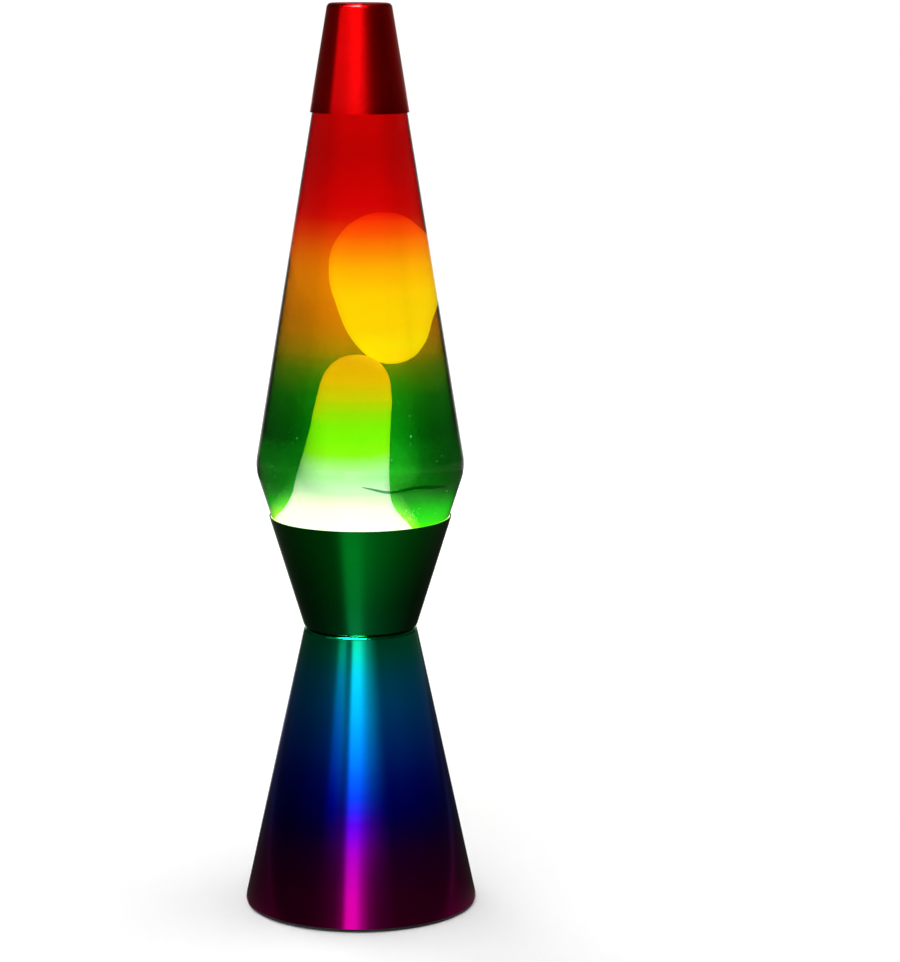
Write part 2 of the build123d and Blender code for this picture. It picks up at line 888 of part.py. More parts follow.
def make_cord_grommet():
    """Soft grommet whose groove grips the edge of the cone's rear hole."""
    bow = grommet_flange_radius ** 2 / (2 * (cone_radius(grommet_height) - cone_wall))
    outer_face = cone_wall / 2 + fine_gap
    inner_face = -cone_wall / 2 - bow - fine_gap
    points = [
        (grommet_bore_radius, inner_face - grommet_flange),
        (grommet_flange_radius, inner_face - grommet_flange),
        (grommet_flange_radius, inner_face),
        (grommet_groove_radius, inner_face),
        (grommet_groove_radius, outer_face),
        (grommet_flange_radius, outer_face),
        (grommet_flange_radius, outer_face + grommet_flange),
        (grommet_bore_radius, outer_face + grommet_flange),
    ]
    return grommet_plane() * lathe(outline(points))


def make_bulb_tip():
    """Solder button at the foot of the bulb's cap."""
    corner = (tip_radius, tip_low)
    points = [(0, tip_low), corner, (tip_radius, tip_low + tip_height), (0, tip_low + tip_height)]
    return lathe(outline(points, [(corner, tip_height / 2)]))


def make_bulb_insulator():
    """Black glass between the tip and the threaded cap."""
    low = tip_low + tip_height
    high = low + insulator_height
    outer = cap_thread_root_radius - cap_shell_wall - fine_gap
    points = [
        (0, low),
        (insulator_small_radius, low),
        (outer, high),
        (outer, high + tip_height),
        (0, high + tip_height),
    ]
    return lathe(outline(points))


def make_bulb_cap():
    """Threaded metal cap with a flared collar round the glass neck."""
    low = tip_low + tip_height + insulator_height
    flare_low = tip_low + cap_flare_height
    high = tip_low + cap_length
    collar_low = flare_low + cap_collar_radius - cap_thread_root_radius
    outer = [
        (cap_thread_root_radius, low),
        (cap_thread_root_radius, flare_low),
        (cap_collar_radius, collar_low),
        (cap_collar_radius, high),
    ]
    inner = [(radius - cap_shell_wall, height) for radius, height in reversed(outer)]
    ridge = screw_ridge(
        cap_thread_root_radius,
        cap_thread_crest_radius,
        cap_ridge_root_width,
        cap_ridge_crest_width,
        tip_low + cap_thread_start,
        cap_thread_turns,
    )
    return lathe(outline(outer + inner)) + ridge


def bulb_neck_low():
    """Height of the lower end of the bulb's glass neck, inside the cap's collar."""
    return tip_low + cap_length - bulb_neck_seat


def bulb_outline(inset):
    """Outline of the bulb's glass, drawn in by an inset."""
    low = bulb_neck_low()
    neck_high = low + bulb_neck_length
    widest = bulb_top - bulb_face_depth
    neck = Line((bulb_neck_radius - inset, low), (bulb_neck_radius - inset, neck_high))
    side = Spline(
        (bulb_neck_radius - inset, neck_high),
        (bulb_radius - inset, widest),
        tangents=[(0, 1), (0, 1)],
    )
    face = oval_side(bulb_radius - inset, bulb_face_depth - inset, bulb_face_round - inset, widest)
    axis = Line((0, bulb_top - inset), (0, low))
    foot = Line((0, low), (bulb_neck_radius - inset, low))
    return make_face(neck + side + face + axis + foot)


def make_bulb_glass():
    """Glass envelope of the bulb, open at the foot where the stem closes it."""
    return lathe(bulb_outline(0)) - lathe(bulb_outline(bulb_glass_wall))


def make_bulb_stem():
    """Glass mount that flares out to the neck's foot."""
    low = bulb_neck_low()
    foot = bulb_neck_radius - bulb_glass_wall - fine_gap
    flare_top = low + 3 * stem_radius
    points = [
        (foot, low),
        (foot, low + stem_foot_wall),
        (stem_radius, flare_top),
        (stem_radius, low + stem_length),
        (0, low + stem_length),
        (0, flare_top),
        (stem_radius - stem_foot_wall, flare_top - stem_foot_wall),
        (foot - stem_foot_wall, low),
    ]
    return lathe(outline(points))


def make_bulb_leads():
    """Two support wires that spread from the stem to the filament."""
    low = bulb_neck_low() + stem_length
    start_x = stem_radius / 2
    bend_high = low + lead_rise / 3
    path = FilletPolyline(
        (start_x, 0, low),
        (start_x, 0, bend_high),
        (lead_spread, 0, low + lead_rise),
        radius=lead_bend_radius,
    )
    lead = sweep(Plane(origin=path @ 0, z_dir=path % 0) * Circle(lead_radius), path=path)
    return Compound(mirrored(lead))


def make_bulb_filament():
    """Filament that bows between the tips of the support wires."""
    height = bulb_neck_low() + stem_length + lead_rise + lead_radius + filament_radius
    path = ThreePointArc((-lead_spread, 0, height), (0, -lead_spread, height), (lead_spread, 0, height))
    return sweep(Plane(origin=path @ 0, z_dir=path % 0) * Circle(filament_radius), path=path)


cavity = make_cavity()
coil_ring = make_coil_ring()
wax_column = make_wax_column(cavity, coil_ring)
liquid = (cavity & slab(pool_height, liquid_level)) - wax_column - make_egg(film)

nodes = {
    "top_cap": make_top_cap(),
    "bottle": make_bottle(),
    "crown_cap": make_crown_cap(),
    "crown_liner": make_crown_liner(),
    "liquid": liquid,
    "wax_column": wax_column,
    "coil_ring": coil_ring,
    "wax_blob": make_egg(0),
    "upper_cup": make_upper_cup(),
    "lower_cone": make_lower_cone(),
    "waist_ferrule": make_waist_ferrule(),
    "seat_ring": make_seat_ring(),
    "base_plate": make_base_plate(),
    "plate_lugs": make_plate_lugs(),
    "plate_screws": make_plate_screws(),
    "foot_ring": make_foot_ring(),
    "socket_bracket": make_socket_bracket(),
    "bracket_screws": make_bracket_screws(),
    "bracket_nuts": make_bracket_nuts(),
    "nipple": make_nipple(),
    "nipple_locknut": make_nipple_locknut(),
    "socket_cap": make_socket_cap(),
    "socket_body": make_socket_body(),
    "socket_insert": make_socket_insert(),
    "socket_shell": make_socket_shell(),
    "centre_contact": make_centre_contact(),
    "side_contact": make_side_contact(),
    "contact_rivets": make_contact_rivets(),
    "terminal_blocks": make_terminal_blocks(),
    "terminal_screws": make_terminal_screws(),
    "cord_grommet": make_cord_grommet(),
    "bulb_contact_tip": make_bulb_tip(),
    "bulb_insulator": make_bulb_insulator(),
    "bulb_cap": make_bulb_cap(),
    "bulb_glass": make_bulb_glass(),
    "bulb_stem": make_bulb_stem(),
    "bulb_leads": make_bulb_leads(),
    "bulb_filament": make_bulb_filament(),
}

for name, shape in nodes.items():
    export_step(shape, f"parts/{name}.step")
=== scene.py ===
"""Liquid motion lamp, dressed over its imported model: lacquered metal shells, a glass bottle of
glowing wax, and the bulb, lampholder and bottom plate inside the base.

Metres, +Z up, the front towards -Y. Sizes that are easier to read in millimetres go through mm().
"""
import logging
import math
import random
from dataclasses import dataclass
from enum import Enum
from typing import Optional, Sequence

import bmesh
import bpy
from mathutils import Euler, Matrix, Vector, noise


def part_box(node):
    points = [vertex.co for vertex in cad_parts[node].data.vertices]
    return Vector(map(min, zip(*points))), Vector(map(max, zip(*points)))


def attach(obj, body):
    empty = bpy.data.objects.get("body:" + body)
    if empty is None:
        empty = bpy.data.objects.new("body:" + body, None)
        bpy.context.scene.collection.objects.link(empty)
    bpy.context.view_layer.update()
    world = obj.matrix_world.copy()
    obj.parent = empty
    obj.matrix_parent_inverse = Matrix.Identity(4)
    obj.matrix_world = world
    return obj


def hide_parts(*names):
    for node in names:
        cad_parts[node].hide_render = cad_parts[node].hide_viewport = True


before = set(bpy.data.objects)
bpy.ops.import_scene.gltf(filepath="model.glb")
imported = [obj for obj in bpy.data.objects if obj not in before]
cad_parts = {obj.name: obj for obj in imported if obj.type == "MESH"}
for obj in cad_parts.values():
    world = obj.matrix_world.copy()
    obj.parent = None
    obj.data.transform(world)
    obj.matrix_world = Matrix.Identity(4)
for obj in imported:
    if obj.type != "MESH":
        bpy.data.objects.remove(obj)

log = logging.getLogger("lamp")

Point = tuple[float, float]
Levels = tuple[Point, ...]
Colour = tuple[float, float, float]
Grain = tuple[float, float, float]
Stops = tuple[tuple[float, str], ...]
Socket = bpy.types.NodeSocket
Piece = bpy.types.Object

WHITE: Colour = (1.0, 1.0, 1.0)
BLACK: Colour = (0.0, 0.0, 0.0)


class Body(Enum):
    """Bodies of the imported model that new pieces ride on."""

    BOTTLE = "bottle"
    BLOB = "wax_blob"


class Slot(Enum):
    """Material slots of the record, passed with new pieces and not read."""

    BOTTLE_GLASS = "bottle_glass"
    LIQUID = "liquid"
    WAX = "wax"
    SPRING_STEEL = "spring_steel"


def mm(value: float) -> float:
    """A length in millimetres, in metres."""
    return value / 1000.0


def mm_span(low: float, high: float) -> Point:
    """Two lengths in millimetres, in metres."""
    return mm(low), mm(high)


def display(code: str) -> Colour:
    """Linear colour of a display colour.

    Args:
        code: Six hexadecimal digits, two each for red, green and blue.

    Returns:
        Red, green and blue as linear light.
    """
    parts = [int(code[start:start + 2], 16) / 255 for start in (0, 2, 4)]
    return tuple(part / 12.92 if part <= 0.04045 else ((part + 0.055) / 1.055) ** 2.4 for part in parts)


def displayed(stops: Stops) -> list[tuple[float, Colour]]:
    """Stops with the linear colours of their display colours."""
    return [(height, display(code)) for height, code in stops]


def opaque(colour: Colour) -> tuple[float, float, float, float]:
    """A colour with full alpha."""
    return (*colour, 1.0)


# Meshes


def level_at(place_along: float, levels: Sequence[Point]) -> float:
    """Level on a line through (place, level) pairs.

    Args:
        place_along: Where to read the level.
        levels: The pairs, in rising order of place.

    Returns:
        The level.
    """
    if place_along <= levels[0][0]:
        return levels[0][1]
    for (first, low), (second, high) in zip(levels, levels[1:]):
        if place_along <= second:
            return low + (high - low) * (place_along - first) / (second - first)
    return levels[-1][1]


@dataclass(frozen=True)
class Corner:
    """Corner of a turned outline.

    Attributes:
        radius: Distance from the lamp's axis, in millimetres.
        height: Height above the table, in millimetres.
        ease: Radius of the round that eases the corner, in millimetres.
    """

    radius: float
    height: float
    ease: float = 0.0

    @property
    def place(self) -> Vector:
        """Radius and height in metres."""
        return Vector((mm(self.radius), mm(self.height)))


def eased_corner(corner: Corner, before: Corner, after: Corner, steps: int) -> list[Point]:
    """Arc that replaces one corner of an outline.

    Args:
        corner: The corner, with its round.
        before: The corner that comes before it.
        after: The corner that follows.
        steps: Number of straight runs in the arc.

    Returns:
        Points of the arc, in metres.
    """
    here = corner.place
    back = (before.place - here).normalized()
    ahead = (after.place - here).normalized()
    half = back.angle(ahead) / 2
    reach = mm(corner.ease) / math.tan(half)
    centre = here + (back + ahead).normalized() * mm(corner.ease) / math.sin(half)
    start = here + back * reach - centre
    end = here + ahead * reach - centre
    turn = math.atan2(start.x * end.y - start.y * end.x, start.dot(end))
    arc = [centre + Matrix.Rotation(turn * step / steps, 2) @ start for step in range(steps + 1)]
    return [(point.x, point.y) for point in arc]


def turned_outline(corners: Sequence[Corner], steps: int = 14) -> list[Point]:
    """Outline through corners, each with its round.

    Args:
        corners: The corners in order; the first and the last stay sharp.
        steps: Number of straight runs in each round.

    Returns:
        Radius and height pairs, in metres.
    """
    points: list[Point] = []
    for index, corner in enumerate(corners):
        if corner.ease > 0:
            points += eased_corner(corner, corners[index - 1], corners[index + 1], steps)
        else:
            points.append((corner.place.x, corner.place.y))
    return points


def supported(points: Sequence[Point], hold: float = 0.4, longest: float = 8.0) -> list[Point]:
    """Outline with extra points on its long straight runs, which keep the shading of each run even.

    Args:
        points: Radius and height pairs, in metres.
        hold: Distance of the first and last extra point from the ends of a run, in millimetres.
        longest: Longest piece that a run is left in, in millimetres.

    Returns:
        The outline with its extra points.
    """
    result = [points[0]]
    for first, second in zip(points, points[1:]):
        start, end = Vector(first), Vector(second)
        length = (end - start).length
        if length > 4 * mm(hold):
            pieces = math.ceil(length / mm(longest))
            between = [piece / pieces for piece in range(1, pieces)]
            shares = [mm(hold) / length, *between, 1 - mm(hold) / length]
            result += [tuple(start.lerp(end, share)) for share in shares]
        result.append(second)
    return result


def linked(name: str, data: bpy.types.ID) -> Piece:
    """New object in the scene.

    Args:
        name: Name of the object.
        data: Its mesh, curve, lens or light.

    Returns:
        The object.
    """
    made = bpy.data.objects.new(name, data)
    bpy.context.scene.collection.objects.link(made)
    return made


def mesh_object(name: str, vertices: Sequence[Sequence[float]], faces: Sequence[Sequence[int]],
                sharp_degrees: float = 40.0) -> Piece:
    """Object with a smooth-shaded mesh whose faces all point outwards.

    Args:
        name: Name of the object.
        vertices: Places of the vertices, in metres.
        faces: Vertex numbers of each face.
        sharp_degrees: Edges that bend by more than this stay sharp.

    Returns:
        The new object, linked to the scene.
    """
    mesh = bpy.data.meshes.new(name)
    mesh.from_pydata([tuple(vertex) for vertex in vertices], [], [tuple(face) for face in faces])
    work = bmesh.new()
    work.from_mesh(mesh)
    bmesh.ops.recalc_face_normals(work, faces=work.faces)
    work.to_mesh(mesh)
    work.free()
    mesh.shade_smooth()
    mesh.set_sharp_from_angle(angle=math.radians(sharp_degrees))
    return linked(name, mesh)


def turned_object(name: str, outline: Sequence[Point], segments: int = 192) -> Piece:
    """Body turned about the lamp's axis.

    Args:
        name: Name of the object.
        outline: Radius and height pairs, from the axis round to the axis, or a ring's closed loop.
        segments: Number of facets round the axis.

    Returns:
        The new object.
    """
    on_axis = 1e-7
    vertices: list[tuple[float, float, float]] = []
    rings: list[list[int]] = []
    for radius, height in outline:
        if radius < on_axis:
            rings.append([len(vertices)])
            vertices.append((0.0, 0.0, height))
            continue
        rings.append(list(range(len(vertices), len(vertices) + segments)))
        for step in range(segments):
            angle = 2 * math.pi * step / segments
            vertices.append((radius * math.cos(angle), radius * math.sin(angle), height))
    pairs = list(zip(rings, rings[1:]))
    if len(rings[0]) > 1:
        pairs.append((rings[-1], rings[0]))
    faces: list[list[int]] = []
    for low, high in pairs:
        for step in range(segments):
            following = (step + 1) % segments
            if len(low) == 1 and len(high) == 1:
                break
            if len(low) == 1:
                faces.append([low[0], high[following], high[step]])
            elif len(high) == 1:
                faces.append([low[step], low[following], high[0]])
            else:
                faces.append([low[step], low[following], high[following], high[step]])
    return mesh_object(name, vertices, faces)


def wire_object(name: str, points: Sequence[Vector], radius: float, closed: bool = False,
                widths: Sequence[float] = ()) -> Piece:
    """Round wire along points.

    Args:
        name: Name of the object.
        points: Places that the wire passes near, in metres.
        radius: Radius of the wire, in metres.
        closed: Whether the wire joins its own start.
        widths: Share of the radius at each place, if it changes.

    Returns:
        The new curve object.
    """
    curve = bpy.data.curves.new(name, "CURVE")
    curve.dimensions = "3D"
    curve.bevel_depth = radius
    curve.bevel_resolution = 3
    curve.resolution_u = 4
    curve.use_fill_caps = not closed
    spline = curve.splines.new("NURBS")
    spline.points.add(len(points) - 1)
    for target, place in zip(spline.points, points):
        target.co = (*place, 1.0)
    for target, width in zip(spline.points, widths):
        target.radius = width
    spline.order_u = 3
    spline.use_endpoint_u = not closed
    spline.use_cyclic_u = closed
    return linked(name, curve)


def settle(piece: Piece) -> None:
    """Turn a piece's modifiers into its mesh.

    Args:
        piece: The object.
    """
    solved = piece.evaluated_get(bpy.context.evaluated_depsgraph_get())
    piece.data = bpy.data.meshes.new_from_object(solved)
    piece.modifiers.clear()


# Materials


class Bench:
    """Node tree of a material or of the world, with short calls that add and join its nodes."""

    def __init__(self, name: str, world: bool = False) -> None:
        """Start with an empty tree.

        Args:
            name: Name of the material or the world.
            world: Whether it is a world.
        """
        self.made = (bpy.data.worlds if world else bpy.data.materials).new(name)
        self.made.use_nodes = True
        self.tree = self.made.node_tree
        self.tree.nodes.clear()
        self.output = self.add("ShaderNodeOutputWorld" if world else "ShaderNodeOutputMaterial")

    def add(self, kind: str, inputs: Optional[dict] = None, **settings: object) -> bpy.types.Node:
        """Add a node.

        Args:
            kind: Blender's name for the node.
            inputs: Values of its input sockets, and links where a value is a socket.
            settings: Its other properties.

        Returns:
            The new node.
        """
        node = self.tree.nodes.new(kind)
        for key, value in settings.items():
            setattr(node, key, value)
        for key, value in (inputs or {}).items():
            if isinstance(value, Socket):
                self.tree.links.new(value, node.inputs[key])
            else:
                node.inputs[key].default_value = value
        return node

    def finish(self, shader: bpy.types.Node) -> bpy.types.ID:
        """Make a shader the surface.

        Args:
            shader: Node of the shader.

        Returns:
            The material or the world.
        """
        self.tree.links.new(shader.outputs[0], self.output.inputs["Surface"])
        return self.made

    def surface(self, inputs: dict) -> bpy.types.Material:
        """Finish the material with one main shader.

        Args:
            inputs: Values and links of the shader's sockets.

        Returns:
            The material.
        """
        return self.finish(self.add("ShaderNodeBsdfPrincipled", inputs))

    def object_place(self) -> Socket:
        """Place on the object, in metres, as it stands in the frame."""
        return self.add("ShaderNodeTexCoord").outputs["Object"]

    def along(self, axis: str) -> Socket:
        """Place on the object along one axis, in metres."""
        return self.add("ShaderNodeSeparateXYZ", {"Vector": self.object_place()}).outputs[axis]

    def facing(self) -> Socket:
        """How far the surface is seen edge on, from 0 to 1."""
        return self.add("ShaderNodeLayerWeight", {"Blend": 0.5}).outputs["Facing"]

    def seen_plainly(self) -> Socket:
        """1 where the camera sees it, straight on or by a reflection or glass, and 0 where it only lights."""
        path = self.add("ShaderNodeLightPath").outputs
        mirrored = self.worked("MAXIMUM", path["Is Camera Ray"], path["Is Glossy Ray"])
        return self.worked("MAXIMUM", mirrored, path["Is Transmission Ray"])

    def worked(self, way: str, first: Socket, second: Socket) -> Socket:
        """Result of a calculation with two values.

        Args:
            way: Blender's name for the calculation.
            first: First value.
            second: Second value.

        Returns:
            The result.
        """
        return self.add("ShaderNodeMath", {0: first, 1: second}, operation=way).outputs[0]

    def ranged(self, source: Socket, span: Point, result: Point = (0.0, 1.0)) -> Socket:
        """Spread a range of a value over another range.

        Args:
            source: The value.
            span: Values that become the two ends of the result.
            result: What they become.

        Returns:
            The new value.
        """
        ends = zip(("From Min", "From Max", "To Min", "To Max"), (*span, *result))
        return self.add("ShaderNodeMapRange", {"Value": source, **dict(ends)}).outputs[0]

    def stretched_noise(self, stretch: Grain, detail: float = 3.0) -> Socket:
        """Noise that is stretched along the object's axes.

        Args:
            stretch: How many blotches there are per metre along each axis.
            detail: How many finer layers the noise has.

        Returns:
            The noise, from 0 to 1.
        """
        mapping = self.add("ShaderNodeMapping", {"Vector": self.object_place(), "Scale": stretch})
        inputs = {"Vector": mapping.outputs[0], "Scale": 1.0, "Detail": detail}
        return self.add("ShaderNodeTexNoise", inputs).outputs["Fac"]

    def grey(self, tone: Socket) -> Socket:
        """Grey of a tone from 0 to 1."""
        return self.add("ShaderNodeCombineColor", {"Red": tone, "Green": tone, "Blue": tone}).outputs[0]

    def height_ramp(self, stops: Sequence[tuple[float, Colour]]) -> Socket:
        """Colour that changes with height.

        Args:
            stops: Height in millimetres and colour, from low to high.

        Returns:
            The colour.
        """
        low, high = stops[0][0], stops[-1][0]
        ramp = self.add("ShaderNodeValToRGB", {"Fac": self.ranged(self.along("Z"), mm_span(low, high))})
        ramp.color_ramp.interpolation = "EASE" if len(stops) < 3 else "LINEAR"
        elements = ramp.color_ramp.elements
        while len(elements) < len(stops):
            elements.new(0.5)
        for element, (place, colour) in zip(elements, stops):
            element.position = (place - low) / (high - low)
            element.color = opaque(colour)
        return ramp.outputs["Color"]

    def blended(self, share: object, first: object, second: object, mode: str = "MIX") -> Socket:
        """Mix of two colours.

        Args:
            share: How much of the second colour shows.
            first: First colour or socket.
            second: Second colour or socket.
            mode: Blender's name for the way they mix.

        Returns:
            The mixed colour.
        """
        first, second = [value if isinstance(value, Socket) else opaque(value) for value in (first, second)]
        inputs = {0: share, 6: first, 7: second}
        return self.add("ShaderNodeMix", inputs, data_type="RGBA", blend_type=mode).outputs[2]

    def bump(self, height: Socket, depth: float, strength: float = 1.0) -> Socket:
        """Small relief.

        Args:
            height: Height of the relief, from 0 to 1.
            depth: Depth in millimetres that stands for a height of 1.
            strength: Share of the relief that shows.

        Returns:
            The bumped normal.
        """
        inputs = {"Height": height, "Distance": mm(depth), "Strength": strength}
        return self.add("ShaderNodeBump", inputs).outputs[0]


# Bounds that most and nearly all values of a noise lie between
MOST_NOISE: Point = (0.3, 0.7)
WIDE_NOISE: Point = (0.2, 0.8)


@dataclass(frozen=True)
class ShellLacquer:
    """Tinted lacquer on a spun metal shell.

    Attributes:
        name: Name of the material.
        stops: Height in millimetres and display colour, from low to high.
        roughness: Blur of its reflections.
        depth: Power by which the colour deepens where the eye's path through the lacquer is slanted.
        coat: Share of the surface that shines as clear varnish.
        inner_glow: Strength of the painted glow that stands for the bulb's light on the inside, near the top.
        slant: Slant at which the colour begins to deepen, and at which it is deepest.
        lathe_rings: Blotches per metre of the fine rings.
        marks: Blotches per metre of the handling marks.
        glow_heights: Heights in millimetres between which the painted glow on the inside grows bright.
        inner_depth: Distance inside the axis at which a face counts as an inner one, in millimetres.
    """

    name: str
    stops: Stops
    roughness: float
    depth: float = 1.0
    coat: float = 0.0
    inner_glow: float = 0.0
    slant: Point = (0.006, 0.05)
    lathe_rings: Grain = (40.0, 40.0, 2600.0)
    marks: Grain = (45.0, 45.0, 45.0)
    glow_heights: Point = (140.0, 170.0)
    inner_depth: float = 4.0

    def build(self) -> bpy.types.Material:
        """Make the material, with fine rings from the spinning lathe, faint handling marks, and the bulb's
        light on the inner faces painted as a glow.
        """
        bench = Bench(self.name)
        ramp = bench.height_ramp(displayed(self.stops))
        deep = bench.add("ShaderNodeGamma", {"Color": ramp, "Gamma": self.depth}).outputs[0]
        slanted = bench.blended(bench.ranged(bench.facing(), self.slant), ramp, deep)
        rings = bench.stretched_noise(self.lathe_rings)
        marks = bench.stretched_noise(self.marks, 5.0)
        shade = bench.grey(bench.ranged(marks, MOST_NOISE, (0.94, 1.0)))
        return bench.surface({
            "Base Color": bench.blended(1.0, slanted, shade, "MULTIPLY"),
            "Metallic": 1.0,
            "Roughness": bench.ranged(rings, WIDE_NOISE, (self.roughness - 0.02, self.roughness + 0.02)),
            "Normal": bench.bump(rings, 0.002, 0.15),
            "Coat Weight": self.coat,
            "Coat Roughness": 0.06,
            # Painted light: a pale yellow-green glow on the inner faces stands for the bulb's light there.
            "Emission Color": opaque(display("ecffa0")),
            "Emission Strength": self.painted_inside_glow(bench),
        })

    def painted_inside_glow(self, bench: Bench) -> Socket:
        """Strength of the painted glow that stands for the bulb's light on the faces that point at the axis.

        Args:
            bench: Bench of the material.

        Returns:
            The strength, which fades downwards.
        """
        spot = bench.add("ShaderNodeTexCoord").outputs
        inputs = {0: spot["Object"], 1: (1.0, 1.0, 0.0)}
        level = bench.add("ShaderNodeVectorMath", inputs, operation="MULTIPLY").outputs[0]
        inputs = {0: level, 1: spot["Normal"]}
        outward = bench.add("ShaderNodeVectorMath", inputs, operation="DOT_PRODUCT").outputs["Value"]
        inward = bench.ranged(outward, mm_span(-self.inner_depth, 0.0), (self.inner_glow, 0.0))
        return bench.worked("MULTIPLY", inward, bench.ranged(bench.along("Z"), mm_span(*self.glow_heights)))


@dataclass(frozen=True)
class ClearGlass:
    """Clear pressed glass.

    Attributes:
        name: Name of the material.
        index: Refractive index.
        wetted: Whether liquid covers the surface, so that it hardly reflects.
    """

    name: str = "bottle_glass_clear"
    index: float = 1.5
    wetted: bool = False

    def build(self) -> bpy.types.Material:
        """Make the material, with the slow waves of moulded glass."""
        bench = Bench(self.name)
        waves = bench.stretched_noise((24.0, 24.0, 14.0), 1.0)
        tone = bench.ranged(waves, MOST_NOISE, (0.97, 1.0))
        colour = bench.add("ShaderNodeCombineColor", {"Red": tone, "Green": 1.0, "Blue": tone}).outputs[0]
        return bench.surface({
            "Base Color": colour,
            "Roughness": 0.0,
            "IOR": self.index,
            "Specular Tint": opaque(BLACK if self.wetted else WHITE),
            "Transmission Weight": 1.0,
            "Normal": bench.bump(waves, 0.05, 0.3),
        })


@dataclass(frozen=True)
class TintedLiquid:
    """Clear liquid whose colour runs from green at the bottom to red at the top.

    Attributes:
        name: Name of the material.
        stops: Height in millimetres and display colour in the middle of the bottle, from low to high.
        edge_stops: The same near the bottle's outline, and low in the bottle, clear of the wax, where it is
            darker as painted shade.
        glow_stops: Height and display colour of the painted glow that stands for the light the wax throws
            into the liquid beside it.
        far_glow_stops: The same further from the wax.
        index: Refractive index.
        slant: Slant at which the outline's colour begins, and at which it is full.
        spread_heights: Heights between which the wax's pool grows narrower, in millimetres.
        spread: Half of how much narrower it grows on each side, in millimetres.
        right: Place along X where the liquid begins to be clear of the wax, and where it is clear of it.
        left: The same on the left.
        mixed_heights: Heights between which the wax stops and the outline starts to count, in millimetres.
    """

    name: str
    stops: Stops
    edge_stops: Stops
    glow_stops: Stops
    far_glow_stops: Stops
    index: float = 1.33
    slant: Point = (0.025, 0.09)
    spread_heights: Point = (166.0, 206.0)
    spread: float = 10.0
    right: Point = (14.5, 21.0)
    left: Point = (-32.0, -37.0)
    mixed_heights: Point = (188.0, 202.0)

    def colour_at(self, height: float) -> Colour:
        """Colour in the middle of the bottle.

        Args:
            height: Height in millimetres.

        Returns:
            Red, green and blue as linear light.
        """
        stops = displayed(self.stops)
        tables = [[(place, colour[part]) for place, colour in stops] for part in range(3)]
        red, green, blue = [level_at(height, table) for table in tables]
        return red, green, blue

    def build(self) -> bpy.types.Material:
        """Make the material, with painted shade where the bottle is seen edge on and, low down, away from the
        wax, and a painted glow beside the wax.
        """
        bench = Bench(self.name)
        tables = (self.stops, self.edge_stops, self.glow_stops, self.far_glow_stops)
        centre, edge, glow, far_glow = [bench.height_ramp(displayed(stops)) for stops in tables]
        across, height = bench.along("X"), bench.along("Z")
        slanted = bench.ranged(bench.facing(), self.slant)
        spread = bench.ranged(height, mm_span(*self.spread_heights), mm_span(-self.spread, self.spread))
        right = bench.ranged(bench.worked("ADD", across, spread), mm_span(*self.right))
        left = bench.ranged(bench.worked("SUBTRACT", across, spread), mm_span(*self.left))
        # Painted shade: the darker colour shows near the outline and, low down, away from the wax.
        beside = bench.worked("MAXIMUM", right, left)
        high = bench.ranged(height, mm_span(*self.mixed_heights))
        share = bench.add("ShaderNodeMix", {0: high, 2: beside, 3: slanted}, data_type="FLOAT").outputs[0]
        return bench.surface({
            "Base Color": bench.blended(share, centre, edge),
            "Roughness": 0.0,
            "IOR": self.index,
            "Specular Tint": opaque(BLACK),
            "Transmission Weight": 1.0,
            # Painted light: the wax's light in the liquid beside it, as a glow.
            "Emission Color": bench.blended(beside, glow, far_glow),
            "Emission Strength": 1.0,
        })


@dataclass(frozen=True)
class GlowingWax:
    """Wax that is lit through from below, seen through one skin of tinted liquid; its light is painted as a
    glow.

    Attributes:
        name: Name of the material.
        stops: Height in millimetres and the display colour that shows there, from low to high.
        liquid: The liquid in front of it.
        lifts: How much higher than the wax the eye's line meets the liquid's skin, against the height.
        strongest: Strongest glow of one colour.
        side_lift: Factor of painted extra glow towards the glass on the right, where more liquid lies in
            front of it.
        side: Places along X between which that factor sets in, in millimetres.
        rim_share: Share of the glow that is left where the wax is seen edge on, a painted shade at its
            outline.
        painted_light_wax_stops: Height and display colour of the wax's base, painted lighter at the bottom,
            where the bulb lights it, and darker higher up.
    """

    name: str
    stops: Stops
    liquid: TintedLiquid
    lifts: Levels
    strongest: float = 7.5
    side_lift: float = 1.0
    side: Point = (10.0, 20.0)
    rim_share: float = 0.75
    # Painted light and shade: lighter at the bottom, where the bulb lights the wax, and darker higher up.
    painted_light_wax_stops: Stops = ((190, "fff2d8"), (212, "8e866e"))

    def build(self) -> bpy.types.Material:
        """Make the material: a painted glow, strong enough to show its colour through the liquid."""
        glows = []
        for height, code in self.stops:
            skin = self.liquid.colour_at(height + level_at(height, self.lifts))
            glow = [min(shown / math.sqrt(tint), self.strongest) for shown, tint in zip(display(code), skin)]
            glows.append((height, glow))
        peak = max(max(glow) for _, glow in glows)
        scaled = [(height, tuple(part / peak for part in glow)) for height, glow in glows]
        bench = Bench(self.name)
        tone = bench.ranged(bench.stretched_noise((60.0, 60.0, 45.0), 2.0), (0.25, 0.75), (0.95, 1.0))
        # Painted shade: the glow weakens where the wax is seen edge on.
        rim = bench.ranged(bench.facing(), (0.5, 1.0), (peak, peak * self.rim_share))
        # Painted light: more glow towards the right.
        side = bench.ranged(bench.along("X"), mm_span(*self.side), (1.0, self.side_lift))
        # Painted light and shade: the base colour is lighter at the bottom, where the bulb lights the wax.
        wax = bench.height_ramp(displayed(self.painted_light_wax_stops))
        return bench.surface({
            "Base Color": bench.blended(0.1, wax, bench.grey(tone), "MULTIPLY"),
            "Roughness": 0.35,
            "Emission Color": bench.height_ramp(scaled),
            "Emission Strength": bench.worked("MULTIPLY", bench.worked("MULTIPLY", tone, rim), side),
        })


